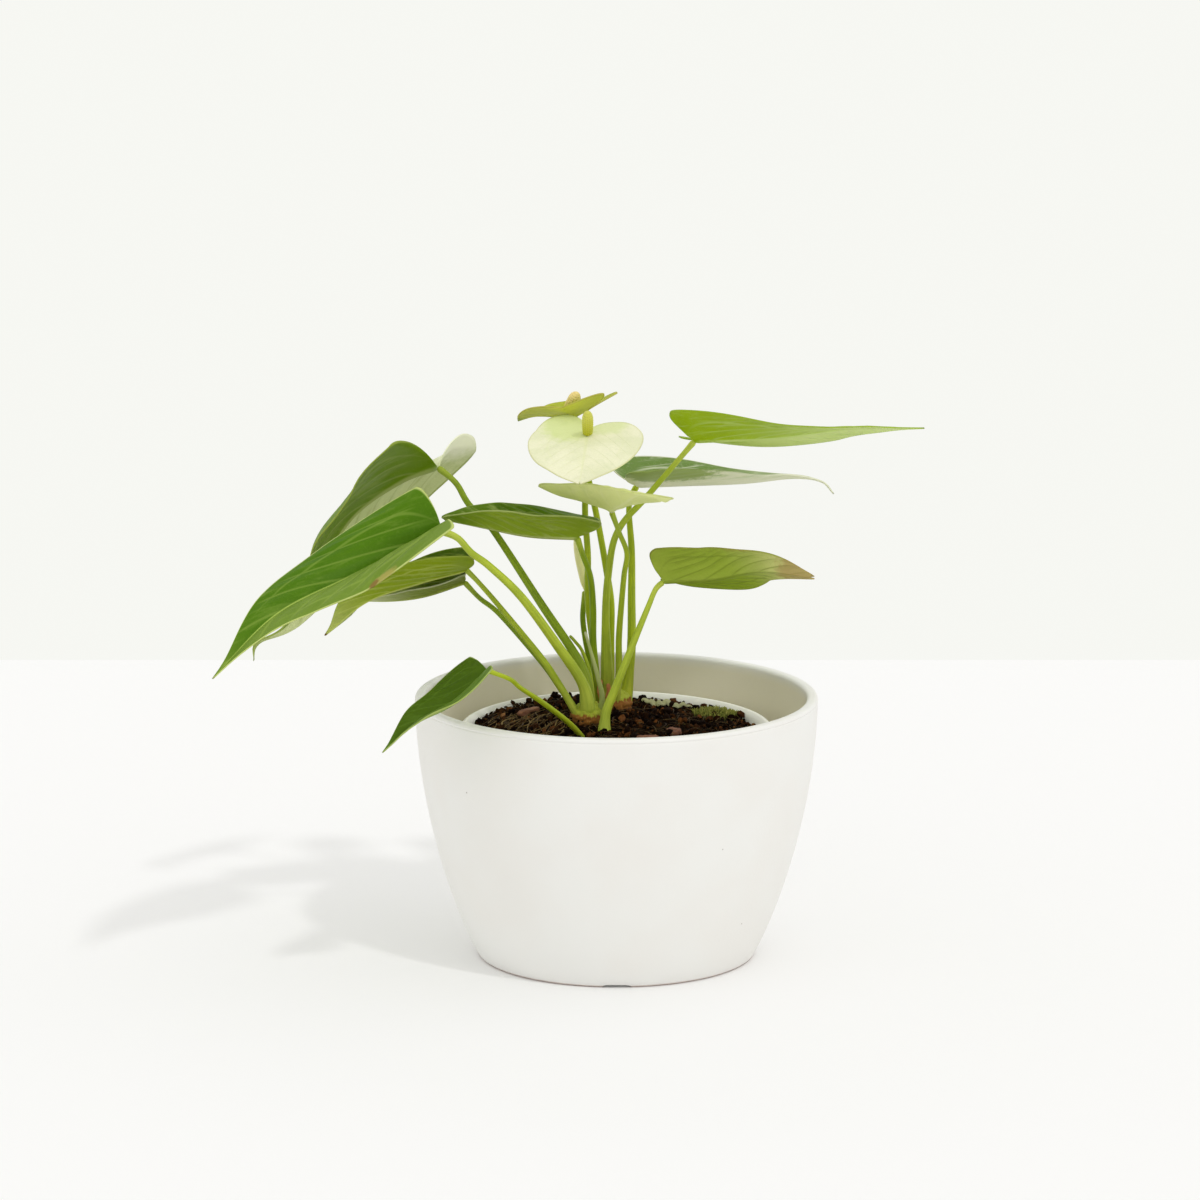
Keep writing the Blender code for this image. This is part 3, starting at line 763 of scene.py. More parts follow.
@dataclass(frozen=True)
class BudFinish:
    """Pale rolled spathe of an unopened flower, its pale cream lifted to full brightness as painted light
    for a bud in the leaves' shade.
    """

    # painted light: both colours are lifted near full brightness to make up for the shade the bud stands
    # in
    shell_and_painted_light: Colour = (1.0, 0.96, 0.50)
    green: Colour = (0.95, 0.92, 0.34)
    roughness: float = 0.5
    sheen: float = 0.2
    depth: float = 0.00008

    def make(self) -> bpy.types.Material:
        """The bud's material.

        Returns:
            The material.
        """
        g = Graph("rolled_spathe")
        along, seam, _ = g.field("run")
        colour = g.mix(along.ramp(0.35, 0.0) * 0.8, self.shell_and_painted_light, self.green)
        colour = g.mix(seam.ramp(0.06, 0.0) * 0.6, colour, self.green)
        colour = g.mix(g.grain(160, 3).ramp(0.6, 0.4) * 0.2, colour, self.green)
        relief = g.grain(600, 3)
        return g.finish(colour, self.roughness, relief, self.depth, Specular_IOR_Level=self.sheen)


@dataclass(frozen=True)
class StudioFinish:
    """Plain floor paint."""

    paint: Colour = (0.945, 0.945, 0.94)
    roughness: float = 0.9
    sheen: float = 0.1

    def make(self) -> bpy.types.Material:
        """The floor's material.

        Returns:
            The material.
        """
        g = Graph("studio_floor")
        shade = g.mix(g.grain(3, 2), self.paint, tuple(c * 0.995 for c in self.paint))
        return g.finish(shade, self.roughness, Specular_IOR_Level=self.sheen)


PEAT = SoilFinish("peat", (
    (0.0, (0.004, 0.002, 0.001)), (0.45, (0.016, 0.007, 0.002)), (0.9, (0.055, 0.026, 0.009)),
))
CRUMBS = SoilFinish("clods", (
    (0.0, (0.003, 0.001, 0.001)), (0.30, (0.013, 0.005, 0.002)), (0.55, (0.060, 0.022, 0.006)),
    (0.78, (0.23, 0.090, 0.028)), (0.97, (0.66, 0.42, 0.22)),
))
COIR = FibreFinish("coir", (0.022, 0.010, 0.003), (0.10, 0.055, 0.014), (0.66, 0.45, 0.14))
BARK = FibreFinish("bark", (0.045, 0.017, 0.008), (0.21, 0.080, 0.040), (0.50, 0.26, 0.15))
WITHERED = FibreFinish("withered_leaf", (0.26, 0.27, 0.10), (0.50, 0.50, 0.25), (0.74, 0.72, 0.48), 0.1)
PAPER = FibreFinish("papery_sheath", (0.22, 0.06, 0.02), (0.62, 0.22, 0.08), (0.80, 0.46, 0.22), 0.15)


# ---------------------------------------------------------------- mesh building


def linked(name: str, data: bpy.types.ID) -> bpy.types.Object:
    """Makes an object and links it to the scene.

    Args:
        name: The object's name.
        data: Its mesh, lamp or lens.

    Returns:
        The object.
    """
    made = bpy.data.objects.new(name, data)
    bpy.context.scene.collection.objects.link(made)
    return made


@dataclass
class Draft:
    """Points, faces and stored fields of a piece, gathered before it becomes a mesh."""

    points: list[Array] = field(default_factory=list)
    faces: Faces = field(default_factory=list)
    fields: dict[str, list[Array]] = field(default_factory=dict)
    count: int = 0

    @classmethod
    def of(cls, points: Array, faces: Sequence[Sequence[int]], **fields: Array) -> "Draft":
        """A draft that holds one patch.

        Args:
            points: Its points.
            faces: Its faces.
            fields: Three numbers a point, for each stored name.

        Returns:
            The draft.
        """
        draft = cls()
        draft.patch(points, faces, **fields)
        return draft

    def patch(self, points: Array, faces: Sequence[Sequence[int]], **fields: Array) -> None:
        """Adds a patch of surface.

        Args:
            points: Its points.
            faces: Its faces, numbered from its own first point.
            fields: Three numbers a point, for each stored name.
        """
        self.points.append(np.asarray(points, float))
        self.faces.extend(tuple(int(i) + self.count for i in face) for face in faces)
        for name, values in fields.items():
            wide = np.zeros((len(points), 3))
            values = np.asarray(values, float).reshape(len(points), -1)
            wide[:, : values.shape[1]] = values
            self.fields.setdefault(name, []).append(wide)
        self.count += len(points)

    def mesh(self, name: str) -> bpy.types.Mesh:
        """A mesh of the points and faces alone.

        Args:
            name: The mesh's name.

        Returns:
            The mesh.
        """
        mesh = bpy.data.meshes.new(name)
        mesh.from_pydata(np.concatenate(self.points).tolist(), [], self.faces)
        return mesh

    def build(self, name: str, material: bpy.types.Material, slot: Slot, nodes: Sequence[str] = (),
              shading: Shading = Shading.SMOOTH) -> bpy.types.Object:
        """Makes the object, dresses it and says what it stands for.

        Args:
            name: The piece's name.
            material: Its finish.
            slot: The record's slot; not used.
            nodes: The solids that it replaces.
            shading: How its faces are shaded.

        Returns:
            The object.
        """
        mesh = self.mesh(name)
        for key, values in self.fields.items():
            stored = mesh.attributes.new(key, "FLOAT_VECTOR", "POINT")
            stored.data.foreach_set("vector", np.concatenate(values).astype(np.float32).ravel())
        mesh.materials.append(material)
        if shading is Shading.SMOOTH:
            mesh.shade_smooth()
        mesh.update()
        piece = linked(name, mesh)
        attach(piece, BODY)
        if nodes:
            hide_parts(*nodes)
        mesh.calc_loop_triangles()
        count = len(mesh.loop_triangles)
        LOG.info("%s: %d triangles, stands for %s", name, count, ", ".join(nodes) or "no solid")
        return piece


def unit(vectors: Array) -> Array:
    """Vectors scaled to length 1."""
    return vectors / np.maximum(np.linalg.norm(vectors, axis=-1, keepdims=True), 1e-12)


def round_angles(count: int) -> Array:
    """Angles spread evenly round a circle."""
    return np.linspace(0, 2 * math.pi, count, endpoint=False)


def step(values: Array, low: float, high: float) -> Array:
    """Smooth step from 0 at low to 1 at high.

    Args:
        values: Where it is read.
        low: Where it is 0.
        high: Where it is 1.

    Returns:
        The step.
    """
    t = np.clip((np.asarray(values, float) - low) / (high - low), 0, 1)
    return t * t * (3 - 2 * t)


def seeded(name: str) -> np.random.RandomState:
    """Random draws that depend only on a name."""
    return np.random.RandomState(zlib.crc32(name.encode()) % (2**31))


def smooth_route(points: Sequence[Sequence[float]], samples: int) -> Array:
    """Points spread evenly along a smooth curve through the given points.

    Args:
        points: The given points.
        samples: How many points are wanted.

    Returns:
        The points.
    """
    given = np.array(points, float)
    spans = len(given) - 1
    ends = np.vstack([2 * given[0] - given[1], given, 2 * given[-1] - given[-2]])
    at = np.linspace(0, spans, 40 * spans + 1)
    i = np.minimum(at.astype(int), spans - 1)
    f = (at - i)[:, None]
    a, b, c, d = ends[i], ends[i + 1], ends[i + 2], ends[i + 3]
    square = (2 * a - 5 * b + 4 * c - d) * f**2
    cube = (3 * b - a - 3 * c + d) * f**3
    curve = 0.5 * (2 * b + (c - a) * f + square + cube)
    run = np.concatenate([[0.0], np.cumsum(np.linalg.norm(np.diff(curve, axis=0), axis=1))])
    even = np.linspace(0, run[-1], samples)
    return np.stack([np.interp(even, run, curve[:, k]) for k in range(curve.shape[1])], axis=1)


def grid_faces(rows: int, columns: int, closed: bool = False, turned: bool = False) -> Faces:
    """Quads of a grid of points kept row by row.

    Args:
        rows: Rows of points.
        columns: Points in a row.
        closed: Whether each row closes on itself.
        turned: Whether the faces look the other way.

    Returns:
        The quads.
    """
    made = []
    for i in range(rows - 1):
        for j in range(columns if closed else columns - 1):
            k = (j + 1) % columns
            quad = (i * columns + j, (i + 1) * columns + j, (i + 1) * columns + k, i * columns + k)
            made.append(quad[::-1] if turned else quad)
    return made


def capped_faces(rows: int, columns: int, turned: bool = False) -> Faces:
    """Quads of a closed tube of points kept row by row, with a face over each end.

    Args:
        rows: Rows of points.
        columns: Points in a row.
        turned: Whether the faces look the other way.

    Returns:
        The faces.
    """
    first = tuple(range(columns))
    last = tuple((rows - 1) * columns + j for j in range(columns))
    ends = [first[::-1], last] if turned else [first, last[::-1]]
    return grid_faces(rows, columns, closed=True, turned=turned) + ends


def swept(route: Array, radii: Array, sides: int, squash: float = 1.0,
          face_to: Point = (0.0, -1.0, 0.0)) -> tuple[Array, Faces, Array]:
    """A closed tube along a route.

    Args:
        route: Centre points.
        radii: Radius at each point.
        sides: Points round the tube.
        squash: Depth over width of its section.
        face_to: The way that the wide side of a squashed section looks.

    Returns:
        Points, faces, and along and around from 0 to 1 at each point.
    """
    tangent = unit(np.gradient(route, axis=0))
    wide = unit(np.cross(tangent, np.array(face_to)))
    deep = np.cross(wide, tangent)
    cos = np.cos(round_angles(sides))[None, :, None]
    sin = np.sin(round_angles(sides))[None, :, None]
    ring = cos * wide[:, None] + squash * sin * deep[:, None]
    points = route[:, None] + radii[:, None, None] * ring
    rows = len(route)
    along = np.repeat(np.linspace(0, 1, rows), sides)
    around = np.tile(np.abs(np.linspace(-1, 1, sides, endpoint=False)), rows)
    faces = grid_faces(rows, sides, closed=True)
    faces += [(0, j, (j + 1) % sides) for j in range(1, sides - 1)]
    last = (rows - 1) * sides
    faces += [(last, last + (j + 1) % sides, last + j) for j in range(1, sides - 1)]
    return points.reshape(-1, 3), faces, np.stack([along, around], axis=1)


def with_shade(run: Array, shade: float) -> Array:
    """Along and around, with the same shade at every point."""
    return np.hstack([run, np.full((len(run), 1), shade)])


def lathed(profile: Array, steps: int) -> tuple[Array, Faces]:
    """A closed body of revolution.

    Args:
        profile: Radius and height, from the axis round and back to the axis, inner side first.
        steps: Points round the axis.

    Returns:
        Points and faces, with one point at each end on the axis.
    """
    body = profile[1:-1]
    angle = round_angles(steps)
    x = body[:, :1] * np.cos(angle)
    y = body[:, :1] * np.sin(angle)
    z = np.repeat(body[:, 1:], steps, axis=1)
    points = np.stack([x, y, z], axis=-1).reshape(-1, 3)
    faces = grid_faces(len(body), steps, closed=True)
    first, last = len(points), len(points) + 1
    points = np.vstack([points, [0, 0, profile[0, 1]], [0, 0, profile[-1, 1]]])
    base = (len(body) - 1) * steps
    for j in range(steps):
        k = (j + 1) % steps
        faces.append((first, j, k))
        faces.append((last, base + k, base + j))
    return points, faces


def fractal(points: Array, scale: float, seed: float, octaves: int = 4) -> Array:
    """Fractal noise at points, about -1 to 1.

    Args:
        points: The points.
        scale: Features per metre.
        seed: Moves the noise.
        octaves: How many octaves.

    Returns:
        A number a point.
    """
    shift = Vector((seed, 1.7 * seed, -0.6 * seed))
    return np.array([noise.fractal(Vector(p) * scale + shift, 0.9, 2.0, octaves) for p in points])


def clod(rng: np.random.RandomState) -> tuple[Array, list[tuple[int, int, int]]]:
    """An uneven lump of twenty faces, about 1 across.

    Args:
        rng: Random draws.

    Returns:
        Points and faces.
    """
    g = (1 + math.sqrt(5)) / 2
    raw = np.array([(-1, g, 0), (1, g, 0), (-1, -g, 0), (1, -g, 0), (0, -1, g), (0, 1, g), (0, -1, -g),
                    (0, 1, -g), (g, 0, -1), (g, 0, 1), (-g, 0, -1), (-g, 0, 1)])
    faces = [(0, 11, 5), (0, 5, 1), (0, 1, 7), (0, 7, 10), (0, 10, 11), (1, 5, 9), (5, 11, 4), (11, 10, 2),
             (10, 7, 6), (7, 1, 8), (3, 9, 4), (3, 4, 2), (3, 2, 6), (3, 6, 8), (3, 8, 9), (4, 9, 5),
             (2, 4, 11), (6, 2, 10), (8, 6, 7), (9, 8, 1)]
    return unit(raw) * 0.5 * rng.uniform(0.7, 1.25, (12, 1)), faces


def turned_by(rng: np.random.RandomState) -> Array:
    """A random rotation matrix.

    Args:
        rng: Random draws.

    Returns:
        The matrix.
    """
    w, x, y, z = unit(rng.normal(size=4))
    return np.array([
        [1 - 2 * (y * y + z * z), 2 * (x * y - z * w), 2 * (x * z + y * w)],
        [2 * (x * y + z * w), 1 - 2 * (x * x + z * z), 2 * (y * z - x * w)],
        [2 * (x * z - y * w), 2 * (y * z + x * w), 1 - 2 * (x * x + y * y)],
    ])


# ---------------------------------------------------------------- pots


@dataclass
class Planter:
    """The outer pot: a thick curved wall, a rounded lip with a faint line, a small notch in its foot."""

    height: float = 0.102
    rim_r: float = 0.0775
    base_r: float = 0.0531
    wall: float = 0.0042
    floor: float = 0.0045
    fillet_r: float = 0.0075
    inner_span: tuple[float, float] = (0.012, 0.0995)
    outer_span: tuple[float, float] = (0.0975, 0.0012)
    hollow: float = 0.0004
    swell: float = 1.85
    roundness: float = 1.11
    lip_round: float = 0.0015
    notch: tuple[float, float] = (0.010, 0.0010)
    notch_soft: float = 0.0009
    line_drop: float = 0.0019
    line_depth: float = 0.00022
    line_width: float = 0.00028
    wobble: float = 0.00012
    steps: int = 288

    def radius(self, z: Array) -> Array:
        """Outer radius at heights.

        Args:
            z: Heights.

        Returns:
            Radii.
        """
        s = np.clip(np.asarray(z, float) / self.height, 0, 1)
        rise = (1 - (1 - s) ** self.swell) ** (1 / self.roundness)
        return self.base_r + (self.rim_r - self.base_r) * rise

    def profile(self) -> Array:
        """Radius and height from the floor's centre, up inside, over the lip and down to the base.

        Returns:
            The profile's points.
        """
        flat = np.array([[0.0, self.floor], [0.02, self.floor], [0.035, self.floor]])
        up = np.linspace(*self.inner_span, 44)
        inner = np.stack([self.radius(up) - self.wall, up], axis=1)
        corner = float(self.radius(self.inner_span[0])) - self.wall
        turn = np.radians(np.linspace(0, 80, 6))
        fillet = np.stack([corner - self.fillet_r + self.fillet_r * np.sin(turn),
                           self.floor + self.fillet_r - self.fillet_r * np.cos(turn)], axis=1)
        arcs = []
        for centre, sweep in ((self.rim_r - self.wall + self.lip_round, (180, 90)),
                              (self.rim_r - self.lip_round, (90, 0))):
            a = np.radians(np.linspace(*sweep, 7))
            arcs.append(np.stack([centre + self.lip_round * np.cos(a),
                                  self.height - self.lip_round + self.lip_round * np.sin(a)], axis=1))
        line = self.height - self.line_drop
        by_line = np.linspace(self.height - 0.00155, line - 0.0012, 14)
        down = np.concatenate([by_line, np.linspace(*self.outer_span, 64)])
        sunk = self.line_depth * np.exp(-(((down - line) / self.line_width) ** 2))
        outer = np.stack([self.radius(down) - sunk, down], axis=1)
        foot = np.array([
            [float(self.radius(0.0006)), 0.0006], [float(self.radius(0.0)) - 0.0001, 0.0002],
            [self.base_r - 0.0005, 0.0], [self.base_r - 0.004, 0.0], [self.base_r - 0.0055, self.hollow],
            [0.03, self.hollow], [0.0, self.hollow],
        ])
        return np.concatenate([flat, fillet, inner, *arcs, outer, foot])

    def build(self) -> None:
        """Builds and dresses the pot, with its notch and a slight wobble of the wall."""
        points, faces = lathed(self.profile(), self.steps)
        x, y, z = points.T.copy()
        r = np.hypot(x, y)
        inner = (r < self.radius(z) - self.wall * 0.6) & (z > self.floor * 0.9)
        # mask of the painted shade on the inside wall, below the lip
        shade = step(z, self.height - 0.0002, self.height - 0.004) * inner
        swing = np.abs(np.arctan2(x, -y) * self.base_r)
        edge = self.notch[0] / 2
        near = 1 - step(swing, edge - self.notch_soft, edge + self.notch_soft)
        foot = (z < self.notch[1]) & (r > self.base_r - 0.005)
        z = np.where(foot, np.maximum(z, self.notch[1] * near), z)
        wobble = self.wobble * np.sin(2 * np.arctan2(y, x) + 0.7) * step(z, 0.02, 0.1)
        points[:, 2] = z
        points[:, :2] *= (1 - np.abs(wobble) / np.maximum(r, 0.02))[:, None]
        draft = Draft.of(points, faces, zone=np.stack([shade, z], axis=1))
        draft.build("planter_glazed", CeramicFinish().make(), Slot.PLANTER, ["planter_pot"])


@dataclass
class NurseryPot:
    """The thin growing pot: a rolled rim, a plain tapering wall and drain holes in its floor."""

    rim_r: float = 0.0605
    base_r: float = 0.042
    top: float = 0.090
    wall: float = 0.0009
    lip: float = 0.0020
    lip_drop: float = 0.004
    roll_r: float = 0.0011
    inner_top: float = 0.0885
    skirt_z: float = 0.0859
    outer_top: float = 0.0845
    foot: float = 0.0048
    holes: int = 6
    hole_r: float = 0.004
    hole_ring: float = 0.028
    hole_sides: int = 24
    crease: float = 50.0
    steps: int = 216

    def radius(self, z: float) -> float:
        """Outer radius of the wall at a height."""
        widens = self.rim_r - self.lip - self.base_r
        return self.base_r + widens * (z - self.foot) / (self.top - self.foot)

    def profile(self) -> Array:
        """Radius and height from the floor's centre, up inside, over the rim and down to the foot.

        Returns:
            The profile's points.
        """
        floor = self.foot + self.wall
        inside = [(0.0, floor), (self.hole_ring + 0.006, floor)]
        for z in np.linspace(self.foot, self.inner_top, 24):
            inside.append((self.radius(z) - self.wall, max(z, floor)))
        rolled = []
        for a in np.radians(np.linspace(160, -60, 12)):
            rolled.append((self.rim_r - self.roll_r + self.roll_r * math.cos(a),
                           self.top - self.roll_r + self.roll_r * math.sin(a)))
        under = self.top - self.lip_drop
        skirt = [(self.rim_r - 0.0004, under), (self.radius(under), self.skirt_z)]
        outside = [(self.radius(z), z) for z in np.linspace(self.outer_top, self.foot, 24)]
        return np.array(inside + rolled + skirt + outside + [(0.0, self.foot)])

    def build(self) -> None:
        """Builds the pot, drills its drain holes and dresses it."""
        points, faces = lathed(self.profile(), self.steps)
        turn = np.arctan2(points[:, 1], points[:, 0])
        high = step(points[:, 2], 0.05, 0.09)
        shrink = (0.00025 * (1 + np.sin(3 * turn + 1.0)) + 0.0001 * (1 + np.sin(7 * turn))) * high
        r = np.maximum(np.hypot(points[:, 0], points[:, 1]), 1e-6)
        points[:, :2] *= (1 - shrink / np.maximum(r, 0.01))[:, None]
        points[:, 2] -= 0.0003 * (1 + np.sin(2 * turn + 0.5)) * high
        dirty = step(points[:, 2], 0.0885, 0.0865) * (r < 0.0595)
        draft = Draft.of(points, faces, zone=dirty)
        pot = draft.build("nursery_pot_moulded", MouldedFinish().make(), Slot.NURSERY, ["nursery_pot"])
        self.drill(pot)

    def drill(self, pot: bpy.types.Object) -> None:
        """Cuts the drain holes.

        Args:
            pot: The pot.
        """
        tubes = Draft()
        for i in range(self.holes):
            a = 2 * math.pi * i / self.holes
            x, y = self.hole_ring * math.cos(a), self.hole_ring * math.sin(a)
            route = np.array([[x, y, self.foot + rise] for rise in (-0.003, 0.001, 0.004)])
            tube, tube_faces, _ = swept(route, np.full(3, self.hole_r), self.hole_sides)
            tubes.patch(tube, tube_faces)
        cutter = linked("drain_holes", tubes.mesh("drain_holes"))
        cut = pot.modifiers.new("drain", "BOOLEAN")
        cut.object = cutter
        cut.solver = "EXACT"
        graph = bpy.context.evaluated_depsgraph_get()
        pot.data = bpy.data.meshes.new_from_object(pot.evaluated_get(graph))
        pot.modifiers.clear()
        pot.data.shade_smooth()
        pot.data.set_sharp_from_angle(angle=math.radians(self.crease))
        bpy.data.objects.remove(cutter)


# ---------------------------------------------------------------- soil


@dataclass
class SoilBed:
    """The root ball: its rough surface, with the crumbs and fibres that lie on it."""

    edge_z: float = 0.0855
    mound: float = 0.0055
    mound_at: tuple[float, float] = (-0.014, 0.018)
    mound_spread: float = 0.030
    pot: NurseryPot = field(default_factory=NurseryPot)
    rings: int = 84
    spokes: int = 210
    bottom_z: float = 0.0061
    gap: float = 0.0003
    fine_relief: float = 0.0011
    coarse_relief: float = 0.0012
    clods: int = 4200
    clod_inset: float = 0.0022
    clod_limit: float = 0.0012
    clod_sizes: tuple[float, float] = (0.0007, 0.0021)
    large_every: int = 9
    large_sizes: tuple[float, float] = (0.0022, 0.0046)
    fibres: int = 520
    fibre_inset: float = 0.003
    coir_lengths: tuple[float, float] = (0.003, 0.010)
    coir_radii: tuple[float, float] = (0.00008, 0.0002)
    straw_every: int = 4
    straw_x: tuple[float, float] = (-0.048, -0.018)
    straw_y: tuple[float, float] = (-0.034, 0.016)
    straw_turn: tuple[float, float] = (62, 14)
    straw_lengths: tuple[float, float] = (0.009, 0.024)
    straw_radii: tuple[float, float] = (0.00014, 0.00034)

    def height(self, x: Array, y: Array) -> Array:
        """Height of the bed's surface.

        Args:
            x: Places along X.
            y: Places along Y.

        Returns:
            Heights.
        """
        dx = (x - self.mound_at[0]) / self.mound_spread
        dy = (y - self.mound_at[1]) / self.mound_spread
        return self.edge_z + self.mound * np.exp(-(dx * dx + dy * dy) / 2)

    def top(self, x: float, y: float) -> float:
        """Height of the bed's surface at one place."""
        return float(self.height(np.array(x), np.array(y)))

    def build(self) -> None:
        """Builds the bed and everything loose on it."""
        self.build_bed()
        self.build_clods()
        self.build_fibres()

    def build_bed(self) -> None:
        """The ball itself: a rough top over a plain tapering side."""
        clear = self.pot.wall + self.gap
        edge = self.pot.radius(self.edge_z) - clear
        r = edge * np.linspace(0, 1, self.rings) ** 0.8
        top = np.stack([r, np.full(self.rings, self.edge_z)], axis=1)
        side = [(self.pot.radius(z) - clear, z) for z in (0.07, 0.045, 0.02, self.bottom_z)]
        points, faces = lathed(np.vstack([top, side, [0.0, self.bottom_z]]), self.spokes)
        upper = points[:, 2] > self.edge_z - 0.001
        x, y = points[:, 0], points[:, 1]
        rough = self.fine_relief * fractal(points, 260, 3.0, 4)
        rough += self.coarse_relief * fractal(points, 80, 9.0, 2)
        fade = step(np.hypot(x, y), edge, edge - 0.004)
        raised = self.height(x, y) + rough * (0.25 + 0.75 * fade) - 0.0006
        points[:, 2] = np.where(upper, raised, points[:, 2])
        shade = 0.3 + 0.25 * fractal(points, 500, 5.0, 3)
        Draft.of(points, faces, shade=shade).build("soil_bed", PEAT.make(), Slot.SOIL, ["potting_soil"])

    def build_clods(self) -> None:
        """Thousands of crumbs of peat and bark, in one piece."""
        rng = seeded("clods")
        draft = Draft()
        wall = self.pot.radius(self.edge_z)
        for i in range(self.clods):
            large = i % self.large_every == 0
            r = (wall - self.clod_inset) * math.sqrt(rng.uniform(0, 1))
            a = rng.uniform(0, 2 * math.pi)
            x, y = r * math.cos(a), r * math.sin(a)
            points, faces = clod(rng)
            size = rng.uniform(*(self.large_sizes if large else self.clod_sizes))
            stretch = np.array([1.0, rng.uniform(0.5, 1.0), rng.uniform(0.35, 0.8)])
            points = (points * stretch * size) @ turned_by(rng).T
            points += (x, y, self.top(x, y) + rng.uniform(-0.1, 0.5) * size)
            out = np.hypot(points[:, 0], points[:, 1]) / (wall - self.clod_limit)
            points[:, :2] /= np.maximum(out, 1.0)[:, None]
            draft.patch(points, faces, shade=np.full(len(points), rng.beta(1.3, 2.6)))
        draft.build("soil_clods", CRUMBS.make(), Slot.SOIL, shading=Shading.FACETED)

    def build_fibres(self) -> None:
        """Coir threads everywhere and longer straw on the left."""
        rng = seeded("fibres")
        draft = Draft()
        edge = self.pot.radius(self.edge_z) - self.fibre_inset
        for i in range(self.fibres):
            straw = i % self.straw_every == 0
            if straw:
                x, y = rng.uniform(*self.straw_x), rng.uniform(*self.straw_y)
                turn = math.radians(rng.normal(*self.straw_turn))
                length, radius = rng.uniform(*self.straw_lengths), rng.uniform(*self.straw_radii)
            else:
                r, a = edge * math.sqrt(rng.uniform(0, 1)), rng.uniform(0, 2 * math.pi)
                x, y = r * math.cos(a), r * math.sin(a)
                turn = rng.uniform(0, math.pi)
                length, radius = rng.uniform(*self.coir_lengths), rng.uniform(*self.coir_radii)
            t = np.linspace(-0.5, 0.5, 9)
            bow = rng.normal(0, 0.16) * length
            fx = x + t * length * math.cos(turn) - (t * t) * 4 * bow * math.sin(turn)
            fy = y + t * length * math.sin(turn) + (t * t) * 4 * bow * math.cos(turn)
            if np.hypot(fx, fy).max() > edge + 0.001:
                continue
            lift = rng.uniform(0.0002, 0.0013) + abs(rng.normal(0, 0.0007)) * np.sin((t + 0.5) * math.pi)
            route = np.stack([fx, fy, self.height(fx, fy) + lift], axis=1)
            taper = radius * (1 - 0.6 * np.abs(2 * t) ** 3)
            points, faces, run = swept(route, taper, 4, 0.6, (0.0, 0.0, 1.0))
            shade = rng.uniform(0.25, 1.0) if straw else rng.uniform(0, 0.7)
            draft.patch(points, faces, run=with_shade(run, shade))
        draft.build("soil_fibres", COIR.make(), Slot.SOIL)


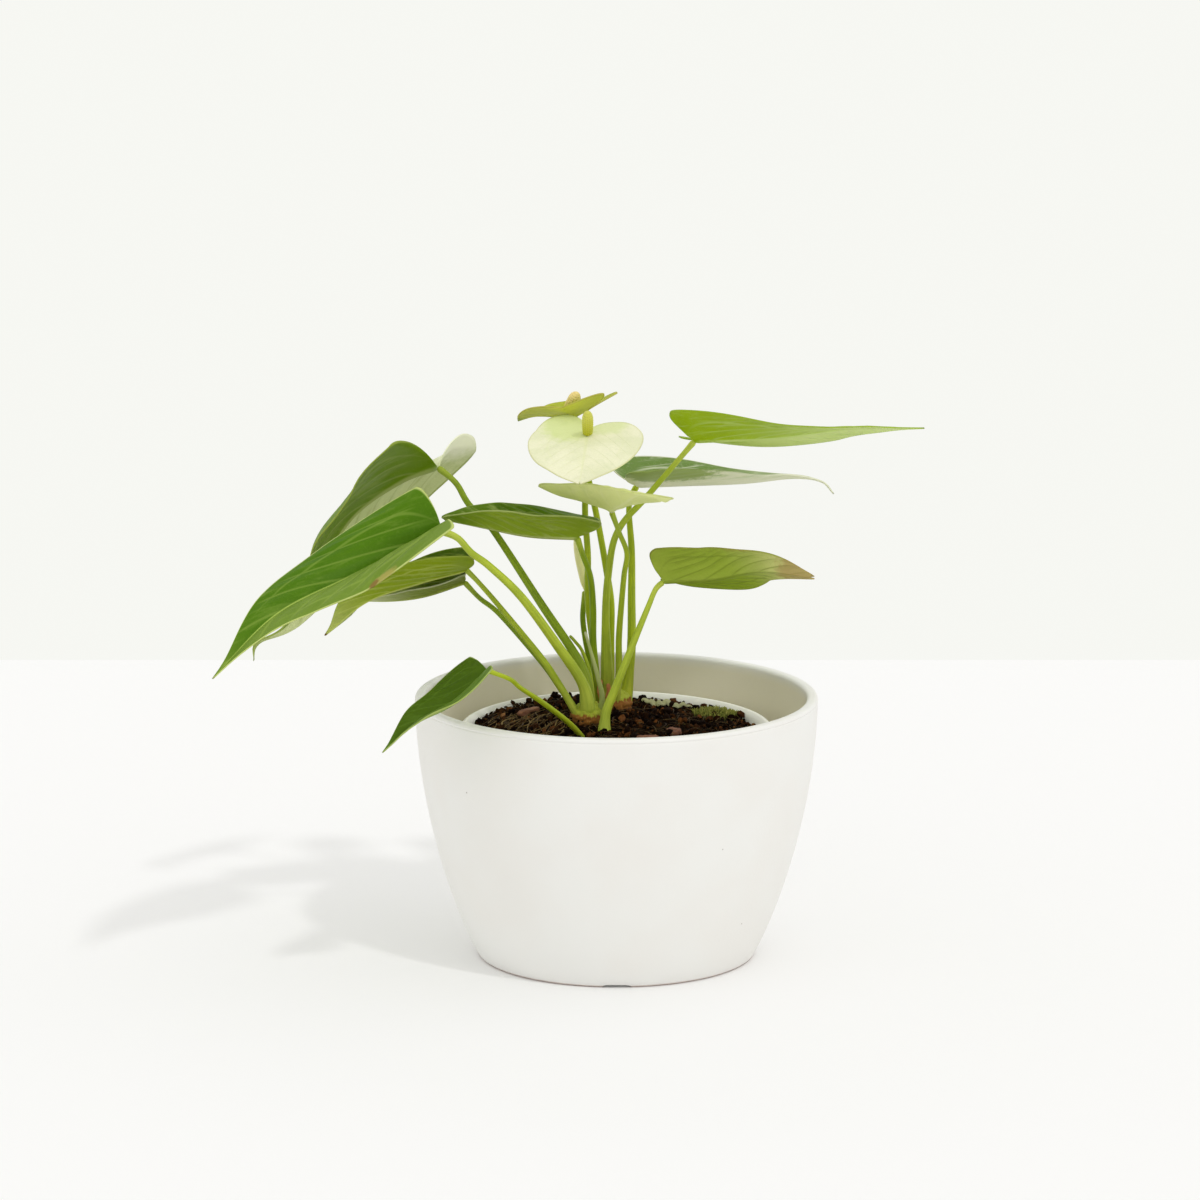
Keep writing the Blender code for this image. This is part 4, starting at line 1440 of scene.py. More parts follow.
@dataclass
class Litter:
    """Bark chips, moss and a withered strip on the soil.

    A chip is its place along X and Y, its turn in degrees, and its length, width and height.
    """

    bed: SoilBed
    chips: dict[str, tuple[float, ...]] = field(default_factory=lambda: {
        "bark_chip_1": (0.012, -0.020, 20, 0.010, 0.006, 0.003),
        "bark_chip_2": (0.026, -0.030, -35, 0.009, 0.005, 0.004),
        "bark_chip_3": (0.022, -0.008, 70, 0.008, 0.005, 0.003),
        "bark_chip_4": (0.038, -0.016, 10, 0.009, 0.006, 0.003),
        "bark_chip_5": (-0.030, -0.022, -15, 0.011, 0.005, 0.003),
        "bark_chip_6": (-0.034, 0.016, 40, 0.010, 0.004, 0.003),
    })
    chip_grid: tuple[int, int] = (14, 20)
    moss_at: tuple[float, float] = (0.039, 0.028)
    moss_radii: tuple[float, float] = (0.009, 0.006)
    shoots: int = 900
    shoot_r: float = 0.00022
    shoot_lengths: tuple[float, float] = (0.0010, 0.0030)
    strip: tuple[tuple[float, float], ...] = ((0.010, 0.036), (0.020, 0.035), (0.030, 0.034))
    strip_half: float = 0.0019
    strip_lift: float = 0.0022
    strip_grid: tuple[int, int] = (60, 14)

    def build(self) -> None:
        """Builds and dresses each kind of litter."""
        self.build_chips()
        self.build_moss()
        self.build_strip()

    def build_chips(self) -> None:
        """Broken flakes of bark, each its own piece."""
        bark = BARK.make()
        rows, columns = self.chip_grid
        u = np.linspace(-0.5, 0.5, rows)
        a = round_angles(columns)
        beside, above = (np.sign(part) * np.abs(part) ** 0.55 for part in (np.cos(a), np.sin(a)))
        end = (1 - np.abs(2 * u) ** 6) ** 0.5 * 0.75 + 0.25
        for name, (x, y, turn, length, width, height) in self.chips.items():
            rng = seeded(name)
            route = np.stack([u * length, 0 * u, 0 * u], axis=1)
            points = np.repeat(route[:, None], columns, axis=1)
            points[..., 1] += 0.5 * width * beside[None] * end[:, None]
            points[..., 2] += 0.5 * height * 0.7 * above[None] * end[:, None]
            flat = points.reshape(-1, 3)
            jag = 0.0006 * fractal(flat, 420, rng.uniform(0, 50), 4)[:, None]
            flat = flat + unit(flat * (0.4, 1, 1)) * jag
            torn = fractal(flat * (0.1, 1, 1), 700, rng.uniform(0, 50), 2)
            flat[:, 0] += 0.0012 * torn * np.abs(flat[:, 0]) / length
            cos, sin = math.cos(math.radians(turn)), math.sin(math.radians(turn))
            px = x + flat[:, 0] * cos - flat[:, 1] * sin
            py = y + flat[:, 0] * sin + flat[:, 1] * cos
            pz = self.bed.height(px, py) + 0.5 * height + flat[:, 2]
            run = np.stack([np.repeat(u + 0.5, columns), np.tile(np.abs(np.sin(a)), rows)], axis=1)
            faces = capped_faces(rows, columns, turned=True)
            draft = Draft.of(np.stack([px, py, pz], axis=1), faces,
                             run=with_shade(run, rng.uniform(0.1, 0.9)))
            draft.build(name + "_flake", bark, Slot.BARK, [name])

    def build_moss(self) -> None:
        """A low cushion of short leafy shoots."""
        rng = seeded("moss")
        draft = Draft()
        for _ in range(self.shoots):
            r, a = math.sqrt(rng.uniform(0, 1)), rng.uniform(0, 2 * math.pi)
            x = self.moss_at[0] + self.moss_radii[0] * r * math.cos(a)
            y = self.moss_at[1] + self.moss_radii[1] * r * math.sin(a)
            z = self.bed.top(x, y)
            length = rng.uniform(*self.shoot_lengths) * (1.25 - r * 0.6)
            lean = rng.normal(0, 0.45, 2)
            tip = np.array([x + lean[0] * length, y + lean[1] * length, z + 0.0008 + length])
            bend = (x + 0.2 * lean[0] * length, y, z + 0.5 * length)
            route = smooth_route([(x, y, z - 0.0003), bend, tip], 5)
            points, faces, _ = swept(route, np.array([0.9, 1.4, 1.3, 0.9, 0.3]) * self.shoot_r, 4, 0.5)
            # shade runs from the base of each shoot to its tip; the low end takes the moss's painted shade
            shade = np.clip(rng.normal(0.5, 0.22) + 0.25 * np.repeat(np.linspace(-1, 1, 5), 4), 0, 1)
            draft.patch(points, faces, shade=shade)
        draft.build("moss_shoots", MossFinish().make(), Slot.MOSS, ["moss_patch"])

    def build_strip(self) -> None:
        """A pale withered leaf strip, curled along its length."""
        rows, sides = self.strip_grid
        route = smooth_route([(x, y, self.bed.top(x, y) + self.strip_lift) for x, y in self.strip], rows)
        t = np.linspace(0, 1, rows)
        route[:, 2] += 0.0005 * np.sin(17 * t) + 0.0004 * np.sin(41 * t)
        route[:, 1] += 0.0006 * np.sin(13 * t + 1)
        taper = np.sin(math.pi * np.clip(t * 0.96 + 0.03, 0, 1)) ** 0.45
        width = self.strip_half * taper * (1 - 0.35 * t)
        points, faces, run = swept(route, width, sides, 0.34, (0.0, -0.35, 1.0))
        points[:, 2] += 0.0003 * fractal(points, 600, 2.0, 3)
        draft = Draft.of(points, faces, run=with_shade(run, 0.75))
        draft.build("withered_leaf_strip", WITHERED.make(), Slot.WITHERED, ["withered_strip"])


# ---------------------------------------------------------------- blades

LEAF_OUTLINE = (
    (-0.04, 0.12), (-0.10, 0.36), (-0.13, 0.64), (-0.10, 0.86), (0.02, 0.985), (0.18, 1.0),
    (0.38, 0.86), (0.58, 0.60), (0.76, 0.32), (0.90, 0.11), (1.0, 0.012),
)
SPATHE_OUTLINE = (
    (-0.06, 0.02), (-0.13, 0.18), (-0.16, 0.42), (-0.12, 0.70), (0.00, 0.90), (0.22, 1.0),
    (0.46, 0.95), (0.66, 0.80), (0.82, 0.52), (0.93, 0.24), (1.0, 0.012),
)
WIDEST_AT = 0.18
OUTLINE_STEPS = 200
RIB_STEPS = 100


@dataclass
class Blade:
    """A leaf or spathe: a heart-shaped sheet rolled, folded and curled about its midrib."""

    node: str
    midrib: tuple[Point, ...]
    half_widths: tuple[float, float]
    roll: tuple[float, float]
    fold: tuple[float, float]
    curl: float
    lobes: tuple[float, float]
    lift: float
    slim: float
    finish: BladeFinish
    outline: tuple[tuple[float, float], ...] = LEAF_OUTLINE
    slot: Slot = Slot.LEAF
    rows: int = 96
    columns: int = 61
    leaves_rib: tuple[float, float] = (0.97, 1.5)
    bow: tuple[float, float] = (0.35, 0.62)
    thickness: float = 0.0005
    quilt: float = 0.00022
    wave: float = 0.00035
    waves: tuple[int, ...] = (2, 3, 5)
    groove: float = 0.00028
    rib: float = 0.00055

    def flat(self, u: Array, v: Array) -> tuple[Array, Array]:
        """Place on the flat sheet: u runs from the lobes to the tip, v across from right to left.

        Args:
            u: From 0 to 1.
            v: From -1 to 1.

        Returns:
            Along, as a share of the midrib, and side, as a share of the half width.
        """
        outline = smooth_route(self.outline, OUTLINE_STEPS + 1)
        at, steps = u * OUTLINE_STEPS, np.arange(OUTLINE_STEPS + 1)
        along = np.interp(at, steps, outline[:, 0])
        side = np.interp(at, steps, outline[:, 1])
        side = np.where(along > WIDEST_AT, np.maximum(side, 1e-4) ** self.slim, side)
        along = np.where(along < 0, along * np.where(v > 0, *self.lobes), along)
        start = self.leaves_rib[0] * u ** self.leaves_rib[1]
        a = np.abs(v)
        bend = start + self.bow[0] * (along - start)
        x = (1 - a) ** 2 * start + 2 * (1 - a) * a * bend + a * a * along
        y = 2 * (1 - a) * a * self.bow[1] * side + a * a * side
        return x, y * np.sign(v)

    def surface(self, along: Array, side: Array, v: Array) -> Array:
        """Points of the sheet's middle surface.

        Args:
            along: Share of the midrib.
            side: Share of the half width.
            v: Which half, by its sign.

        Returns:
            The points.
        """
        midrib = smooth_route(self.midrib, RIB_STEPS + 1)
        length = np.linalg.norm(np.diff(midrib, axis=0), axis=1).sum()
        at = np.clip(along, 0, 1) * RIB_STEPS
        tangents = unit(np.gradient(midrib, axis=0))

        def on_rib(values: Array) -> Array:
            """Values read along the midrib."""
            return np.stack([np.interp(at, np.arange(RIB_STEPS + 1), axis) for axis in values.T], axis=-1)

        tangent = unit(on_rib(tangents))
        up = np.array([0.0, 0.0, 1.0])
        normal = unit(up - (tangent @ up)[..., None] * tangent)
        left = np.cross(normal, tangent)
        t = np.clip(along, 0, 1)
        roll = np.radians(self.roll[0] + (self.roll[1] - self.roll[0]) * t)[..., None]
        across = np.cos(roll) * left + np.sin(roll) * normal
        above = -np.sin(roll) * left + np.cos(roll) * normal
        back = np.minimum(along * length, 0)[..., None]
        lift = math.radians(self.lift)
        base = on_rib(midrib) + back * math.cos(lift) * tangent - back * math.sin(lift) * above
        fold = np.radians(self.fold[0] + (self.fold[1] - self.fold[0]) * np.clip(along / 0.6, 0, 1))
        width = np.where(v > 0, *self.half_widths)
        reach = np.abs(side) * width
        bend = math.radians(self.curl or 0.01) / width
        out = (np.sin(fold + bend * reach) - np.sin(fold)) / bend
        rise = (np.cos(fold) - np.cos(fold + bend * reach)) / bend
        return base + across * (np.sign(side) * out)[..., None] + above * rise[..., None]

    def relief(self, u: Array, v: Array, along: Array, side: Array) -> tuple[Array, Array]:
        """How the sheet stands off its middle surface.

        Args:
            u: From the lobes to the tip, from 0 to 1.
            v: From right to left, from -1 to 1.
            along: Share of the midrib.
            side: Share of the half width.

        Returns:
            The height of the quilting, the wavy margin and the groove, and the midrib's depth.
        """
        across = np.abs(side)
        phase = vein_phase(along, across, self.finish.lateral_count)
        swell = -np.cos(2 * math.pi * (phase - 0.5))
        window = step(across, 0.02, 0.25) * step(np.abs(v), 1.0, 0.75) * step(along, 0.0, 0.15)
        rng = seeded(self.node)
        ripple = sum(np.sin(k * u * 2 * math.pi + rng.uniform(0, 6)) for k in self.waves)
        ripple = ripple / len(self.waves) * step(np.abs(v), 0.3, 1.0)
        ripple = ripple * np.where(v > 0, 1, -1) * step(u, 1.0, 0.85)
        groove = self.groove * np.exp(-((across / 0.045) ** 2)) * step(along, 1.0, 0.5)
        rib = self.rib * np.exp(-((across / 0.035) ** 2))
        rib = rib * step(along, 1.0, 0.3) * step(along, -0.02, 0.02)
        return self.quilt * swell * window + self.wave * ripple - groove, rib

    def build(self) -> None:
        """Builds and dresses the sheet's two skins and the rim that joins them."""
        u, v = np.meshgrid(np.linspace(0, 1, self.rows), np.linspace(-1, 1, self.columns), indexing="ij")
        along, side = self.flat(u, v)
        middle = self.surface(along, side, v)
        normal = unit(np.cross(np.gradient(middle, axis=0), np.gradient(middle, axis=1)))
        raised, rib = self.relief(u, v, along, side)
        upper = middle + normal * (raised + self.thickness / 2)[..., None]
        lower = middle + normal * (raised - self.thickness / 2 - rib)[..., None]
        stored = np.stack([along, side, v], axis=-1).reshape(-1, 3)
        count = self.rows * self.columns
        faces = grid_faces(self.rows, self.columns)
        draft = Draft.of(upper.reshape(-1, 3), faces, blade=stored, skin=np.zeros(count))
        turned = [face[::-1] for face in faces]
        draft.patch(lower.reshape(-1, 3), turned, blade=stored, skin=np.ones(count))
        draft.faces.extend(self.rim_faces(count))
        draft.build(self.node + "_blade", self.finish.make(), self.slot, [self.node])

    def rim_faces(self, count: int) -> Faces:
        """Quads that join the two skins all round.

        Args:
            count: Points in one skin.

        Returns:
            The quads.
        """
        first = list(range(self.columns))
        last = [(self.rows - 1) * self.columns + j for j in range(self.columns)]
        left = [i * self.columns + self.columns - 1 for i in range(self.rows)]
        right = [i * self.columns for i in range(self.rows)]
        loop = first + left[1:] + last[::-1][1:] + right[::-1][1:-1]
        pairs = zip(loop, loop[1:] + loop[:1])
        return [(a, b, b + count, a + count) for a, b in pairs]


# ---------------------------------------------------------------- stalks


@dataclass
class Stalk:
    """A fleshy stalk with a thicker knee under the blade and a sheath that widens into the crown."""

    node: str
    route: tuple[Point, ...]
    radii: tuple[float, float]
    finish: StalkFinish
    knee: float = 1.25
    sheath: float = 1.0
    sheath_from: float = 0.78
    squash: float = 1.0
    knee_reach: float = 0.004
    sides: int = 18
    rows: int = 90

    def build(self) -> None:
        """Builds and dresses the stalk."""
        route = smooth_route(self.route, self.rows)
        t = np.linspace(0, 1, self.rows)
        run = np.linalg.norm(np.diff(route, axis=0), axis=1).sum() * t
        radius = self.radii[0] + (self.radii[1] - self.radii[0]) * t
        radius = radius * (1 + (self.knee - 1) * np.exp(-((run / self.knee_reach) ** 2)))
        radius = radius * (1 + (self.sheath - 1) * step(t, self.sheath_from, 1.0))
        ends = np.minimum(step(run, -0.0006, 0.0007), step(run, run[-1] + 0.0004, run[-1] - 0.0010))
        radius = radius * (0.35 + 0.65 * ends)
        points, faces, along = swept(route, radius, self.sides, self.squash)
        draft = Draft.of(points, faces, run=along)
        draft.build(self.node + "_stem", self.finish.make(), Slot.STALK, [self.node])


# ---------------------------------------------------------------- flowers


@dataclass
class Spadix:
    """The flower spike: a blunt column of close-set florets."""

    node: str
    foot: Point
    head: Point
    radius: float
    finish: SpadixFinish
    cap_from: float = 0.72
    floret: float = 0.00013
    sides: int = 56
    rows: int = 84

    def build(self) -> None:
        """Builds and dresses the spike."""
        t = np.linspace(0, 1, self.rows)
        route = np.array(self.foot) + t[:, None] * (np.array(self.head) - np.array(self.foot))
        cap = np.clip((t - self.cap_from) / 0.285, 0, 1)
        belly = 0.86 + 0.14 * np.sin(math.pi * t)
        radius = self.radius * belly * np.sqrt(np.clip(1 - cap**2, 0.004, 1))
        points, faces, run = swept(route, radius, self.sides)
        turn = np.tile(round_angles(self.sides), self.rows)
        rise = run[:, 0] * 2 * math.pi
        floret = np.cos(7 * turn + 6 * rise) * np.cos(7 * turn - 6 * rise)
        out = unit(points - np.repeat(route, self.sides, axis=0))
        points = points + out * (self.floret * floret * step(run[:, 0], 1.0, 0.85))[:, None]
        draft = Draft.of(points, faces, run=np.stack([run[:, 0], 0.5 + 0.5 * floret], axis=1))
        draft.build(self.node + "_florets", self.finish.make(), Slot.SPADIX, [self.node])


@dataclass
class Bud:
    """An unopened flower: a spathe rolled round its spike, with a seam and a drawn-out point."""

    path: tuple[Point, ...] = (
        (-0.012, 0.0305, 0.1366), (-0.013, 0.0295, 0.145), (-0.016, 0.0275, 0.157),
    )
    radius: float = 0.0023
    fold: float = 0.00022
    sides: int = 48
    rows: int = 80

    def build(self) -> None:
        """Builds and dresses the bud."""
        t = np.linspace(0, 1, self.rows)
        route = smooth_route(self.path, self.rows)
        radius = self.radius * np.clip(np.sin(math.pi * np.clip(0.06 + 0.9 * t, 0, 1)) ** 0.62, 0.05, 1)
        radius = radius * (1 - 0.18 * t)
        points, faces, run = swept(route, radius, self.sides)
        turn = np.tile(round_angles(self.sides), self.rows)
        seam = np.abs(((turn - 3.4 - 1.6 * run[:, 0]) / (2 * math.pi) + 0.5) % 1.0 - 0.5)
        out = unit(points - np.repeat(route, self.sides, axis=0))
        fold = self.fold * (1 - np.exp(-((seam / 0.03) ** 2))) * step(run[:, 0], 0.0, 0.15)
        points = points + out * (fold - 0.0002)[:, None]
        draft = Draft.of(points, faces, run=np.stack([run[:, 0], seam], axis=1))
        draft.build("flower_bud_rolled", BudFinish().make(), Slot.BUD, ["flower_bud"])


# ---------------------------------------------------------------- crown


@dataclass
class Crown:
    """The rhizomes at the soil line, and the papery strips that stand against the rear one.

    A lump is its centre and its three radii. A strip is its top and its foot.
    """

    lump_grid: tuple[int, int] = (60, 72)
    scars: float = 0.05
    fray: float = 0.09
    strip_grid: tuple[int, int] = (40, 14)
    strip_half: float = 0.0011
    lumps: dict[str, tuple[Point, Point]] = field(default_factory=lambda: {
        "crown_front": ((-0.0105, 0.005, 0.0905), (0.0075, 0.009, 0.0075)),
        "crown_rear": ((-0.0025, 0.0275, 0.091), (0.009, 0.0095, 0.008)),
    })
    strips: dict[str, tuple[Point, Point]] = field(default_factory=lambda: {
        "brown_sheath_left": ((-0.0062, 0.0186, 0.1035), (-0.0060, 0.0184, 0.0935)),
        "brown_sheath_right": ((-0.0030, 0.0178, 0.1020), (-0.0030, 0.0176, 0.0930)),
    })

    def build(self) -> None:
        """Builds and dresses the crown."""
        self.build_lumps()
        self.build_papery_strips()

    def build_lumps(self) -> None:
        """Knobbly rhizomes ringed by old leaf scars."""
        husk = HuskFinish().make()
        rows, columns = self.lump_grid
        polar = np.linspace(0.02, math.pi - 0.02, rows)[:, None]
        angle = round_angles(columns)
        ball = np.stack([np.sin(polar) * np.cos(angle), np.sin(polar) * np.sin(angle),
                         np.repeat(np.cos(polar), columns, axis=1)], axis=-1).reshape(-1, 3)
        turn = np.arctan2(ball[:, 1], ball[:, 0])
        rings = self.scars * np.abs(np.sin(ball[:, 2] * 11 + 1.3 * np.sin(2 * turn)))
        frayed = self.fray * fractal(ball * (1, 1, 0.4), 5.0, 4.0, 4)
        run = np.stack([ball[:, 2] * 2, np.abs(turn) / math.pi], axis=1)
        for name, (centre, radii) in self.lumps.items():
            points = np.array(centre) + ball * np.array(radii) * (0.93 + rings + frayed)[:, None]
            draft = Draft.of(points, capped_faces(rows, columns), run=run)
            draft.build(name + "_husk", husk, Slot.CROWN, [name])

    def build_papery_strips(self) -> None:
        """Torn papery sheaths standing against the rear rhizome."""
        paper = PAPER.make()
        rows, sides = self.strip_grid
        t = np.linspace(0, 1, rows)
        width = self.strip_half * (0.35 + 0.65 * np.sin(math.pi * np.clip(t * 0.85 + 0.08, 0, 1)))
        for name, path in self.strips.items():
            rng = seeded(name)
            route = smooth_route(path, rows)
            route[:, 0] += 0.00025 * np.sin(9 * t + rng.uniform(0, 6))
            points, faces, run = swept(route, width, sides, 0.25)
            points += 0.00018 * fractal(points, 700, rng.uniform(0, 30), 3)[:, None]
            draft = Draft.of(points, faces, run=with_shade(run, 0.6))
            draft.build(name + "_paper", paper, Slot.CROWN, [name])


# ---------------------------------------------------------------- studio


@dataclass
class Studio:
    """Floor, backdrop, lamp and camera."""

    floor_half: float = 3.0
    floor_back: float = 0.528
    floor_drop: float = 0.00005
    fill: float = 0.915
    fill_tint: Colour = (1.0, 0.995, 0.98)
    key: float = 0.48
    key_spread: float = 4.0
    key_from: Point = (0.471, -0.666, 1.0)
    backdrop: Colour = (0.928, 0.933, 0.892)
    camera_at: Point = (-0.0063, -2.0564, 0.5647)
    camera_pitch: float = 78.3
    focal: float = 164.5
    sensor: float = 36.0
    sees_to: float = 50.0

    def build(self) -> None:
        """Sets the studio up."""
        self.build_floor()
        self.build_world()
        self.build_key()
        self.build_camera()

    def build_floor(self) -> None:
        """A pale floor that ends a little behind the pot, where the backdrop starts."""
        h, b = self.floor_half, self.floor_back
        mesh = bpy.data.meshes.new("studio_floor")
        mesh.from_pydata([(-h, -h, 0), (h, -h, 0), (h, b, 0), (-h, b, 0)], [], [(0, 1, 2, 3)])
        mesh.materials.append(StudioFinish().make())
        floor = linked("studio_floor", mesh)
        floor.location.z = -self.floor_drop

    def build_world(self) -> None:
        """Even fill light; the camera, gloss and glass see the pale backdrop."""
        world = bpy.data.worlds.new("studio")
        bpy.context.scene.world = world
        world.use_nodes = True
        tree = world.node_tree
        tree.nodes.clear()
        path = tree.nodes.new("ShaderNodeLightPath")
        seen = path.outputs["Is Camera Ray"]
        for ray in ("Is Glossy Ray", "Is Transmission Ray"):
            either = tree.nodes.new("ShaderNodeMath")
            either.operation = "MAXIMUM"
            tree.links.new(seen, either.inputs[0])
            tree.links.new(path.outputs[ray], either.inputs[1])
            seen = either.outputs[0]
        mixed = tree.nodes.new("ShaderNodeMixShader")
        tree.links.new(seen, mixed.inputs[0])
        for place, (tint, strength) in enumerate(((self.fill_tint, self.fill), (self.backdrop, 1.0)), 1):
            light = tree.nodes.new("ShaderNodeBackground")
            light.inputs["Color"].default_value = (*tint, 1.0)
            light.inputs["Strength"].default_value = strength
            tree.links.new(light.outputs[0], mixed.inputs[place])
        output = tree.nodes.new("ShaderNodeOutputWorld")
        tree.links.new(mixed.outputs[0], output.inputs["Surface"])

    def build_key(self) -> None:
        """A soft sun from the front right."""
        lamp = bpy.data.lights.new("key", "SUN")
        lamp.energy = self.key
        lamp.angle = math.radians(self.key_spread)
        key = linked("key", lamp)
        key.rotation_euler = Vector(self.key_from).to_track_quat("Z", "Y").to_euler()

    def build_camera(self) -> None:
        """A long lens a little above the rim, looking down on the plant."""
        lens = bpy.data.cameras.new("camera")
        lens.lens = self.focal
        lens.sensor_width = self.sensor
        lens.clip_end = self.sees_to
        camera = linked("camera", lens)
        camera.location = self.camera_at
        camera.rotation_euler = (math.radians(self.camera_pitch), 0.0, 0.0)
        bpy.context.scene.camera = camera


# ---------------------------------------------------------------- the plant


FINISHES = {
    # big_left: the paler left half above is painted sheen; the right half keeps the darker green
    "big_left": BladeFinish(
        "leaf_big_left", top=((0.185, 0.292, 0.036), (0.082, 0.198, 0.003)),
        under=((0.36, 0.44, 0.12), (0.30, 0.39, 0.08)), vein=(0.40, 0.54, 0.10), edge=(0.66, 0.75, 0.24),
        tip=(0.15, 0.26, 0.02), laterals=0.26, lateral_count=3.6, streaks=0.18, gloss=0.36,
        stains=(Stain(0.30, 0.92, (0.09, 0.12), (0.44, 0.38, 0.10), 0.8, 0.5),
                Stain(0.33, 0.86, (0.03, 0.06), (0.25, 0.15, 0.04), 0.9, 0.5))),
    # rear_left: the pale right half and the near-white patch on its lobe are painted light shining
    # through, with sheen; the left half keeps its dark green
    "rear_left": BladeFinish(
        "leaf_rear_left", top=((0.15, 0.26, 0.003), (0.64, 0.70, 0.34)),
        under=((0.16, 0.27, 0.003), (0.70, 0.76, 0.38)), vein=(0.38, 0.46, 0.12), edge=(0.34, 0.42, 0.07),
        tip=(0.24, 0.31, 0.06), laterals=0.40, streaks=0.3, glow=(0.06, (0.5, 0.66, 0.04)),
        stains=(Stain(-0.14, -0.55, (0.26, 0.75), (0.97, 0.98, 0.74), 0.95, 0.2),)),
    "low_left": BladeFinish(
        "leaf_low_left", top=((0.05, 0.11, 0.008), (0.045, 0.10, 0.006)),
        under=((0.34, 0.45, 0.015), (0.21, 0.31, 0.015)), vein=(0.70, 0.76, 0.18), edge=(0.40, 0.47, 0.08),
        tip=(0.60, 0.64, 0.20), tip_from=0.5, laterals=0.55, streaks=0.4, glow=(0.32, (0.55, 0.70, 0.02)),
        stains=(Stain(1.0, 0.0, (0.03, 0.3), (0.20, 0.07, 0.02)),)),
    "low_left_rear": BladeFinish(
        "leaf_low_left_rear", top=((0.07, 0.13, 0.01), (0.06, 0.11, 0.01)),
        under=((0.24, 0.30, 0.04), (0.22, 0.27, 0.05)), vein=(0.44, 0.52, 0.10), edge=(0.72, 0.74, 0.46),
        tip=(0.70, 0.72, 0.44), tip_from=0.3, glow=(0.25, (0.6, 0.7, 0.1))),
    "centre_dark": BladeFinish(
        "leaf_centre_dark", top=((0.145, 0.26, 0.005), (0.11, 0.215, 0.003)),
        under=((0.33, 0.45, 0.03), (0.22, 0.33, 0.012)), vein=(0.64, 0.72, 0.24), edge=(0.50, 0.57, 0.20),
        tip=(0.15, 0.26, 0.02), tip_from=0.6, laterals=0.25, streaks=0.38, gloss=0.32,
        glow=(0.28, (0.42, 0.56, 0.02))),
    # centre_pale: its near-white skins are painted light, lifted to stand in for light shining through a
    # leaf in the spathe's shade
    "centre_pale": BladeFinish(
        "leaf_centre_pale", top=((0.88, 0.91, 0.60), (0.88, 0.91, 0.56)),
        under=((0.88, 0.91, 0.60), (0.88, 0.91, 0.56)), vein=(0.95, 0.97, 0.74), edge=(0.50, 0.58, 0.20),
        tip=(0.74, 0.77, 0.48), laterals=0.4, streaks=0.35, glow=(0.58, (0.96, 0.97, 0.60))),
    # right_middle: the near-white undersides, veins and edge are painted light shining through; the green
    # patch near the lobes is painted shade on that half
    "right_middle": BladeFinish(
        "leaf_right_middle", top=((0.15, 0.26, 0.05), (0.22, 0.33, 0.06)),
        under=((0.95, 0.96, 0.72), (1.0, 1.0, 0.76)), vein=(0.95, 0.96, 0.76), edge=(0.90, 0.91, 0.72),
        tip=(0.80, 0.83, 0.58), tip_from=0.4, streaks=0.6, glow=(0.14, (0.96, 0.97, 0.72)),
        stains=(Stain(0.08, -0.85, (0.34, 0.55), (0.30, 0.42, 0.07), 0.85, 0.5),)),
    # top_right: the pale cream underside of the left half is painted light shining through; the green
    # patch keeps the lobes their own green
    "top_right": BladeFinish(
        "leaf_top_right", top=((0.33, 0.44, 0.008), (0.38, 0.49, 0.03)),
        under=((0.80, 0.86, 0.36), (0.40, 0.51, 0.012)), vein=(0.74, 0.82, 0.36), edge=(0.36, 0.48, 0.04),
        tip=(0.80, 0.85, 0.46), tip_from=0.10, streaks=0.4, laterals=0.5, glow=(0.36, (0.66, 0.84, 0.02)),
        stains=(Stain(0.02, 0.35, (0.22, 0.50), (0.33, 0.46, 0.004), 0.9, 0.5),)),
    "low_right": BladeFinish(
        "leaf_low_right", top=((0.30, 0.41, 0.04), (0.30, 0.41, 0.04)),
        under=((0.42, 0.53, 0.06), (0.50, 0.60, 0.09)), vein=(0.21, 0.25, 0.04), edge=(0.34, 0.33, 0.07),
        tip=(0.96, 0.84, 0.46), tip_from=0.42, midrib=0.5, laterals=0.5, streaks=0.15,
        glow=(0.34, (0.60, 0.76, 0.05)),
        stains=(Stain(0.92, 0.0, (0.20, 0.7), (0.50, 0.30, 0.13), 0.75, 0.5),
                Stain(0.66, -0.8, (0.20, 0.22), (0.44, 0.33, 0.09), 0.7))),
    # small_front: the paler left half above is painted sheen; the right half keeps the darker green
    "small_front": BladeFinish(
        "leaf_small_front", top=((0.12, 0.21, 0.025), (0.064, 0.126, 0.003)),
        under=((0.36, 0.44, 0.12), (0.36, 0.44, 0.12)), vein=(0.15, 0.27, 0.03), edge=(0.42, 0.52, 0.14),
        tip=(0.09, 0.18, 0.01), laterals=0.25, lateral_count=3.6, gloss=0.30),
    "spathe_front": BladeFinish(
        "spathe_front", top=((0.97, 0.96, 0.70), (0.97, 0.96, 0.70)),
        under=((0.80, 0.84, 0.45), (0.80, 0.84, 0.45)), vein=(0.86, 0.89, 0.52), edge=(0.82, 0.82, 0.48),
        tip=(0.93, 0.92, 0.68), midrib=0.5, laterals=0.25, streaks=0.12, gloss=0.45,
        glow=(0.10, (0.95, 0.95, 0.6)),
        stains=(Stain(-0.14, -0.35, (0.42, 0.60), (0.60, 0.76, 0.14), 0.5, 0.3),
                Stain(-0.16, 0.35, (0.28, 0.45), (0.64, 0.78, 0.20), 0.4, 0.3))),
    "spathe_rear": BladeFinish(
        "spathe_rear", top=((0.27, 0.41, 0.01), (0.50, 0.56, 0.04)),
        under=((0.80, 0.80, 0.13), (0.72, 0.74, 0.10)), vein=(0.62, 0.66, 0.12), edge=(0.60, 0.54, 0.13),
        tip=(0.24, 0.38, 0.04), midrib=0.4, laterals=0.3, streaks=0.4, gloss=0.42,
        glow=(0.25, (0.75, 0.80, 0.06))),
}


def mm(*points: Point) -> tuple[Point, ...]:
    """Points given in millimetres, in metres."""
    return tuple((x / 1000, y / 1000, z / 1000) for x, y, z in points)


